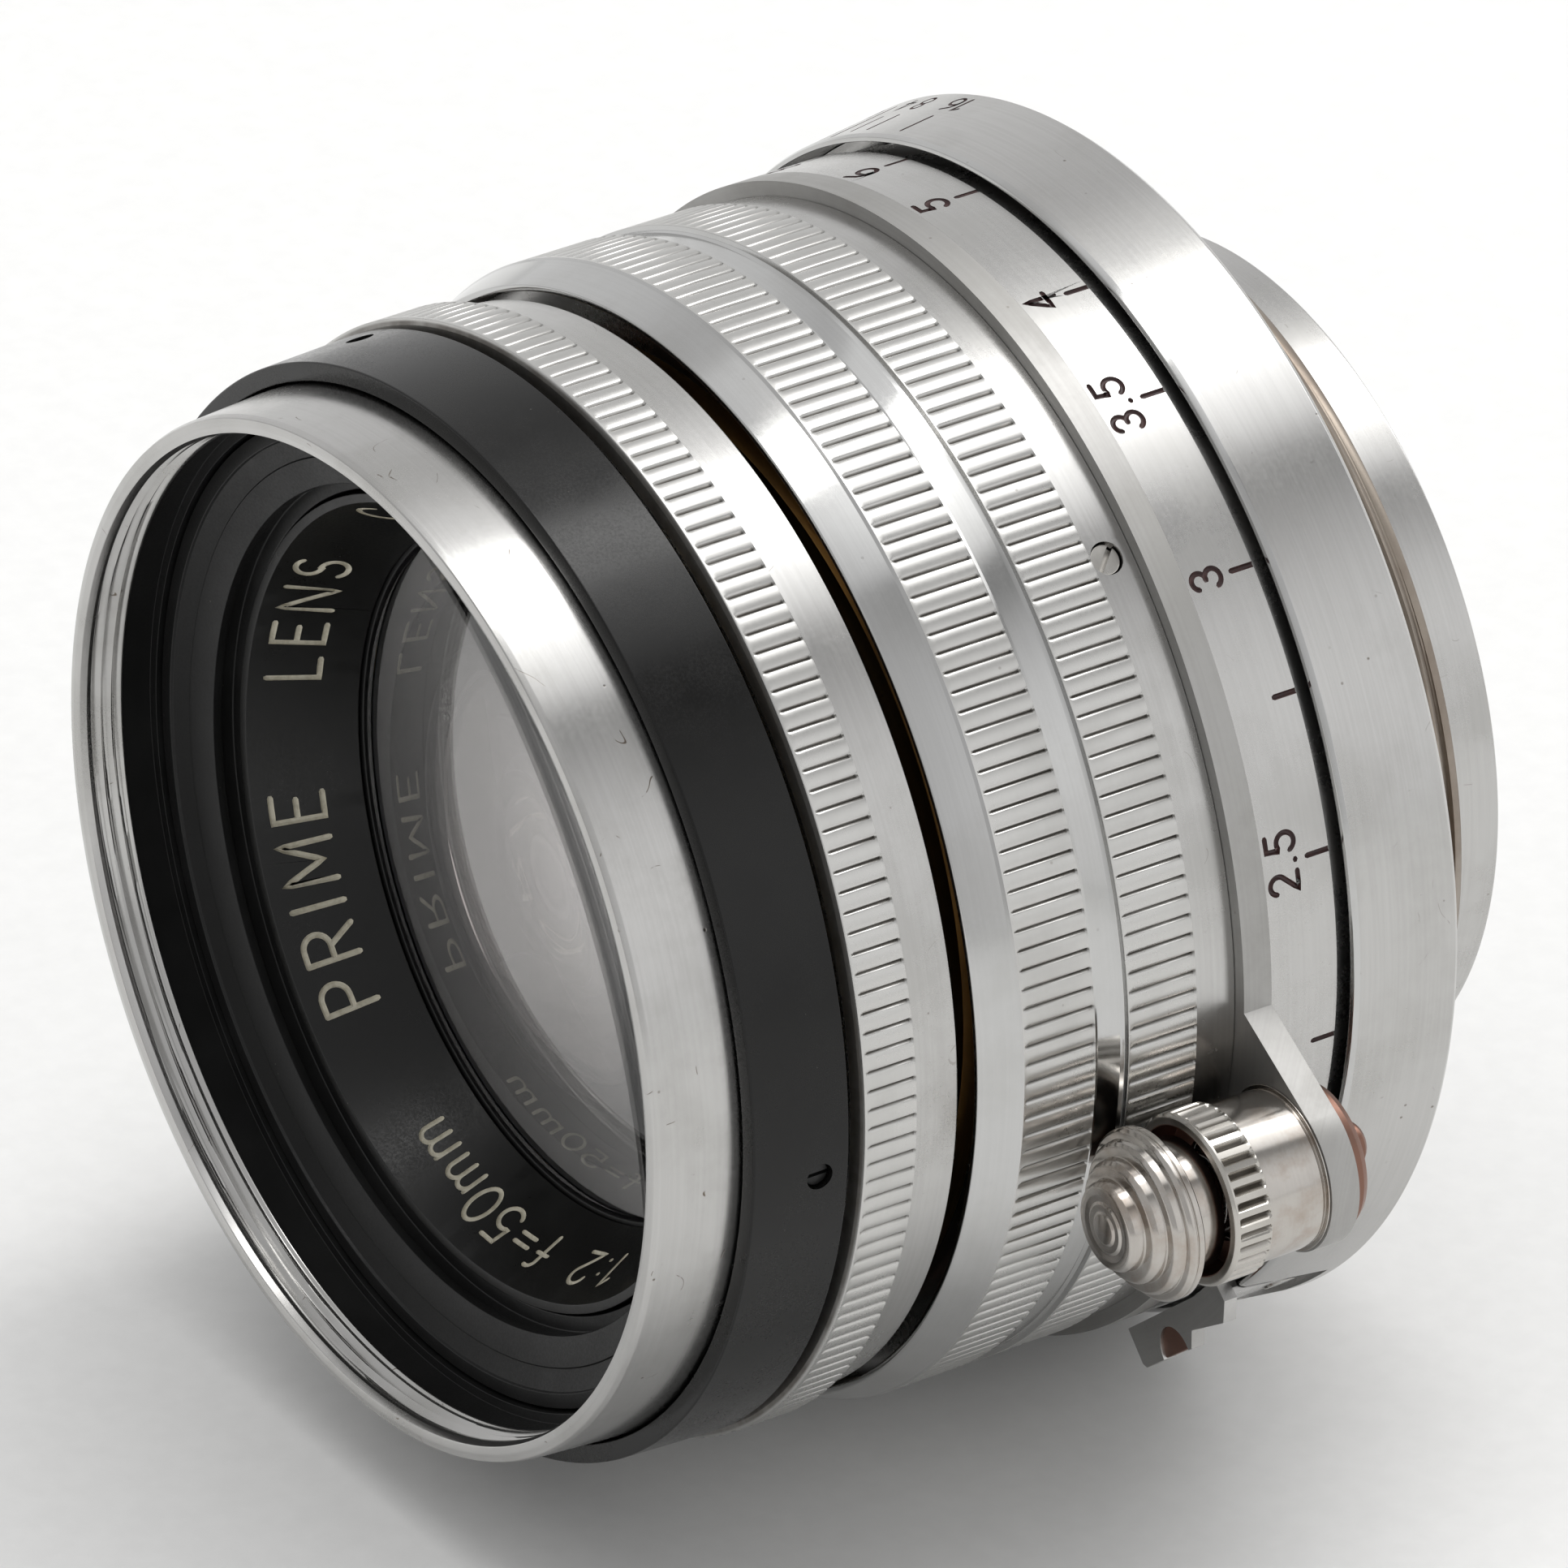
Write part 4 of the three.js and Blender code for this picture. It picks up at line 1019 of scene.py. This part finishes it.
def build_mount():
    low, high = depths_of("mount_flange")
    seat = -FRONT_Y
    # The thread's faces take the dark brown thread finish: oxide, and painted shade behind the band's rear
    # edge.
    ring("mount_flange", [
        (17.7, high, 0.05), (19.1, high, 0.05), (19.5, high - 0.4, 0.03), (19.5, seat + 0.25, 0.02),
        (19.2, seat + 0.2, 0.03), (19.2, seat, 0.03), (23.1, seat, 0.05), (23.1, 32.4), (22.0, 32.4),
        (22.0, low), (20.9, low), (20.9, 32.0), (17.7, 32.0)],
        "mount", [SATIN_BAND, THREAD_OXIDE_AND_SHADE], dense=(seat + 0.2, high - 0.3, 0.07),
        change=helical(seat + 0.4, high - 0.2, 0.977, 0.42, False, 19.5), sharp=50,
        pick=lambda r, s, c: np.where((r > 18.6) & (s > seat + 0.03) & (r < 20.5), 1, 0))

    band_low, band_high = depths_of("dof_ring")
    rear = radius_of("dof_ring")
    front = 24.08

    def surface(s):
        return front + (rear - front) * (s - (band_low + 0.25)) / (band_high - 0.2 - band_low - 0.25)

    jobs = []
    for offset, text in ((12, "16"), (6, "8"), (3, "4")):
        for angle in (INDEX_ANGLE - offset, INDEX_ANGLE + offset):
            jobs.append(tick(surface, angle, 30.7, 32.2, 0.16))
            jobs += lettered(text, 1.2, 0.12, 0.16, on_cylinder(surface, angle, 34.0), 1)
    jobs.append(tick(surface, INDEX_ANGLE, 30.5, 33.6, 0.24))
    slot = radial_block("slot", 23.45, 26, band_low - 1, 34.0, 2.0, CATCH_ANGLE)

    def pick(r, s, c):
        below = surface(s) - r
        deep = (below > 0.012) & (below < 0.3) & (s > 30.45) & (s < 34.2)
        x, z = polar(24, CATCH_ANGLE)
        away = np.hypot(c[:, 0] - x, c[:, 2] - z) > 3.0
        return np.where(deep & away, 1, np.where(s < 30.32, 2, 0))

    ring("dof_ring", [
        (23.2, band_high), (rear - 0.15, band_high, 0.06), (rear, band_high - 0.2, 0.08),
        (front, band_low + 0.28, 0.08), (front - 0.10, band_low + 0.06, 0.06), (front - 0.28, band_low, 0.04),
        (front - 0.28, 32.2), (23.2, 32.2)],
        "mount", [SATIN_BAND, FILL_DARK, POLISHED], cutters=channels(jobs) + [slot],
        pick=pick)

    cam = radius_of("cam_barrel")
    ring("cam_barrel", [
        (15.5, 30.1), (cam, 30.1), (cam, 38.9, 0.02), (cam - 0.12, 38.95, 0.02), (cam - 0.12, 39.15, 0.02),
        (cam, 39.2, 0.02), (cam, 41.7, 0.10), (16.4, 41.7, 0.06), (15.5, 40.2, 0.1)],
        "optical_unit", SATIN)

    build_catch()

    ring("helicoid_retaining_ring", [(20.2, 27.0), (21.9, 27.0), (21.9, 28.4), (20.2, 28.4)], "mount",
         BRASS)
    key = placed("guide_key_v", radial_block("guide_key_v", 17.5, 18.4, *depths_of("guide_key"), 1.1, 90))
    edged(key, 0.08)
    dress(key, "mount", ["guide_key"], [STEEL])


# ---- inside -----------------------------------------------------------------------------------------


def build_inside():
    ring("helicoid_rotor", [
        (18.65, 15.6), (20.0, 15.6), (20.0, 28.6), (20.7, 28.6), (20.7, 31.7), (18.65, 31.7)],
        "focus_ring", BRASS)
    sector = arc(15.5, 192, 280, 60) + arc(20.5, 280, 192, 60)
    ring("main_barrel", [
        (16.65, 7.75), (18.85, 7.75), (18.85, 13.3), (17.3, 13.3), (17.3, 22.0), (18.5, 22.0), (18.5, 30.0),
        (14.2, 30.0), (14.2, 21.5), (16.65, 21.5)],
        "optical_unit", BRASS,
        cutters=[radial_block("keyway", 17.38, 20, 21, 31, 1.25, 90),
                 mesh_from("slot", *prism(sector, 10.95, 12.45))])
    # Painted shade: the retainer shows only in the gap between the aperture ring and the grip, and its dark
    # browned finish makes that gap a dark line.
    ring("aperture_retainer", [(17.4, 13.45), (19.9, 13.45), (19.9, 14.0), (17.4, 14.0)], "optical_unit",
         BROWNED_AND_PAINTED_SHADE)
    ring("front_cell", [
        (14.05, 9.3, 0.06), (16.45, 9.3), (16.45, 11.4), (15.2, 11.4), (15.2, 18.2), (10.3, 18.2),
        (10.3, 15.55, 0.1), (11.85, 15.55), (11.85, 11.9, 0.1), (14.05, 11.9)],
        "optical_unit", MATT)
    ring("iris_housing", [(10.6, 20.45), (16.5, 20.45), (16.5, 21.3), (10.6, 21.3)], "optical_unit",
         MATT)
    ring("rear_cell", [
        (9.9, 21.6), (14.0, 21.6), (14.0, 30.5), (12.2, 30.5, 0.1), (12.2, 37.4, 0.05), (12.0, 37.6, 0.05),
        (10.3, 37.6, 0.08), (9.9, 37.0, 0.05)],
        "optical_unit", MATT)
    ring("rear_retainer", [(8.8, 34.15, 0.06), (9.8, 34.15), (9.8, 35.9), (9.3, 35.9, 0.06)], "optical_unit",
         MATT)

    for number in range(1, 11):
        middle, half = 12.1, 3.1
        outline = arc(15.2, 0, 100, 50) + arc(half, 100, 280, 16, polar(middle, 100))[1:-1]
        outline += arc(9.0, 100, 0, 50) + arc(half, 180, 360, 16, (middle, 0.0))[1:-1]
        c, s = polar(1, number * 36)
        outline = [(x * c - z * s, x * s + z * c) for x, z in outline]
        low, high = depths_of(f"iris_blade_{number}")
        obj = piece(f"iris_blade_{number}_v", *prism(outline, low, high))
        dress(obj, f"blade_{number}", [f"iris_blade_{number}"], [BLUED])


def lens_surface(vertex, curve, radius):
    return vertex + curve - math.copysign(math.sqrt(curve * curve - radius * radius), curve)


def build_glass():
    for node, rim, front, rear in (
            ("front_element", 13.9, (6.9, 40), (11.3, 300)),
            ("triplet_front", 11.7, (12.0, 28), (15.0, 200)),
            ("triplet_middle", 10.15, (15.1, 200), (16.2, 300)),
            ("triplet_rear", 10.15, (16.3, 300), (16.95, 45)),
            ("rear_doublet_front", 9.75, (22.4, -80), (27.5, 20)),
            ("rear_doublet_back", 9.75, (27.6, 20), (35.5, -24))):
        steps = 26
        radii = [rim * k / steps for k in range(steps + 1)]
        corners = [(r, lens_surface(*front, r), 0.0) for r in radii]
        corners += [(r, lens_surface(*rear, r), 0.0) for r in reversed(radii)]
        obj = piece(node + "_v", *solid_of_revolution(corners, 0.0, 160, ON_AXIS))
        dress(obj, "optical_unit", [node], [GLASS], sharp=30)


# ---- studio -----------------------------------------------------------------------------------------


# Brightness round the lens's axis, by angle from +X towards +Z, and in front of it.
TENT = ((-180, 0.85), (-90, 0.6), (0, 0.95), (25, 1.05), (41, 0.9), (53, 0.62), (60, 0.38), (66, 0.32),
        (70, 1.25), (82, 2.0), (103, 1.9), (106, 1.05), (120, 1.0), (124, 0.72), (130, 0.66), (150, 0.8),
        (180, 0.85))
TENT_FRONT = 0.62


def build_world():
    """A plain studio seen only in reflections and as soft light: a light tent, brighter overhead."""
    world = bpy.data.worlds.new("studio")
    bpy.context.scene.world = world
    world.use_nodes = True
    nodes = Nodes(world.node_tree)
    x, y, z = nodes.xyz(nodes.node("ShaderNodeTexCoord", "Generated"))
    degrees = nodes.times(nodes.math("ARCTAN2", z, x), 180 / math.pi)
    place = nodes.node("ShaderNodeMapRange", i0=degrees, i1=-180.0, i2=180.0, i3=0.0, i4=1.0)
    ramp = nodes.node("ShaderNodeValToRGB", i0=place).node
    elements = ramp.color_ramp.elements
    while len(elements) > 1:
        elements.remove(elements[-1])
    for k, (angle, value) in enumerate(TENT):
        at = (angle + 180) / 360
        element = elements[0] if k == 0 else elements.new(at)
        element.position = at
        element.color = rgb(value, value, value)
    tent = nodes.mix(nodes.span(y, 0.1, -0.5), ramp.outputs[0], rgb(TENT_FRONT, TENT_FRONT, TENT_FRONT))
    background = nodes.tree.nodes["Background"]
    nodes.put(background.inputs[0], tent)
    background.inputs[1].default_value = 1.0


def faced(name, data, location, back, up):
    """A light or camera at a place, looking away from back."""
    obj = placed(name, data)
    side = Vector(up).cross(back).normalized()
    obj.rotation_mode = "QUATERNION"
    obj.rotation_quaternion = Matrix((side, back.cross(side), back)).transposed().to_quaternion()
    obj.location = location
    return obj


def build_studio():
    build_world()
    width, length, radiance = 0.20, 1.5, 4.0
    light = bpy.data.lights.new("softbox", "AREA")
    light.shape = "RECTANGLE"
    light.size, light.size_y = width, length
    light.energy = radiance * math.pi * width * length
    light.color = (1.0, 0.99, 0.975)
    back = Vector((-0.085, 0.30, 0.88)).normalized()
    faced("softbox", light, back * 0.8, back, (0, 1, 0))

    floor_z = cad_box[0][2] - 0.2 * MM
    shader = Shader("floor_paper", Metallic=0.0, Roughness=0.75, Specular_IOR_Level=0.2)
    grain = shader.span(shader.noise(shader.position(), 0.9, 4.0), 0.2, 0.8)
    shader.put(shader.bsdf.inputs["Base Color"],
               shader.mix(grain, rgb(0.80, 0.80, 0.795), rgb(0.77, 0.77, 0.765)))
    mesh = bpy.data.meshes.new("floor")
    size = 4.0
    corners = ((-size, -size), (size, -size), (size, size), (-size, size))
    mesh.from_pydata([(x, y, floor_z) for x, y in corners], [], [(0, 1, 2, 3)])
    mesh.materials.append(shader.material)
    placed("floor", mesh)

    data = bpy.data.cameras.new("camera")
    data.lens = 401.7
    data.sensor_width = 36.0
    data.clip_start, data.clip_end = 0.01, 50.0
    back = Vector((0.7212, -0.4790, 0.5004)).normalized()
    scene = bpy.context.scene
    scene.camera = faced("camera", data, (0.4916, -0.3413, 0.3418), back, (0, 0, 1))
    scene.view_settings.view_transform = "Standard"


build_studio()
build_front()
build_aperture_ring()
build_grip()
build_scale()
build_arm()
build_knob()
build_mount()
build_inside()
build_glass()
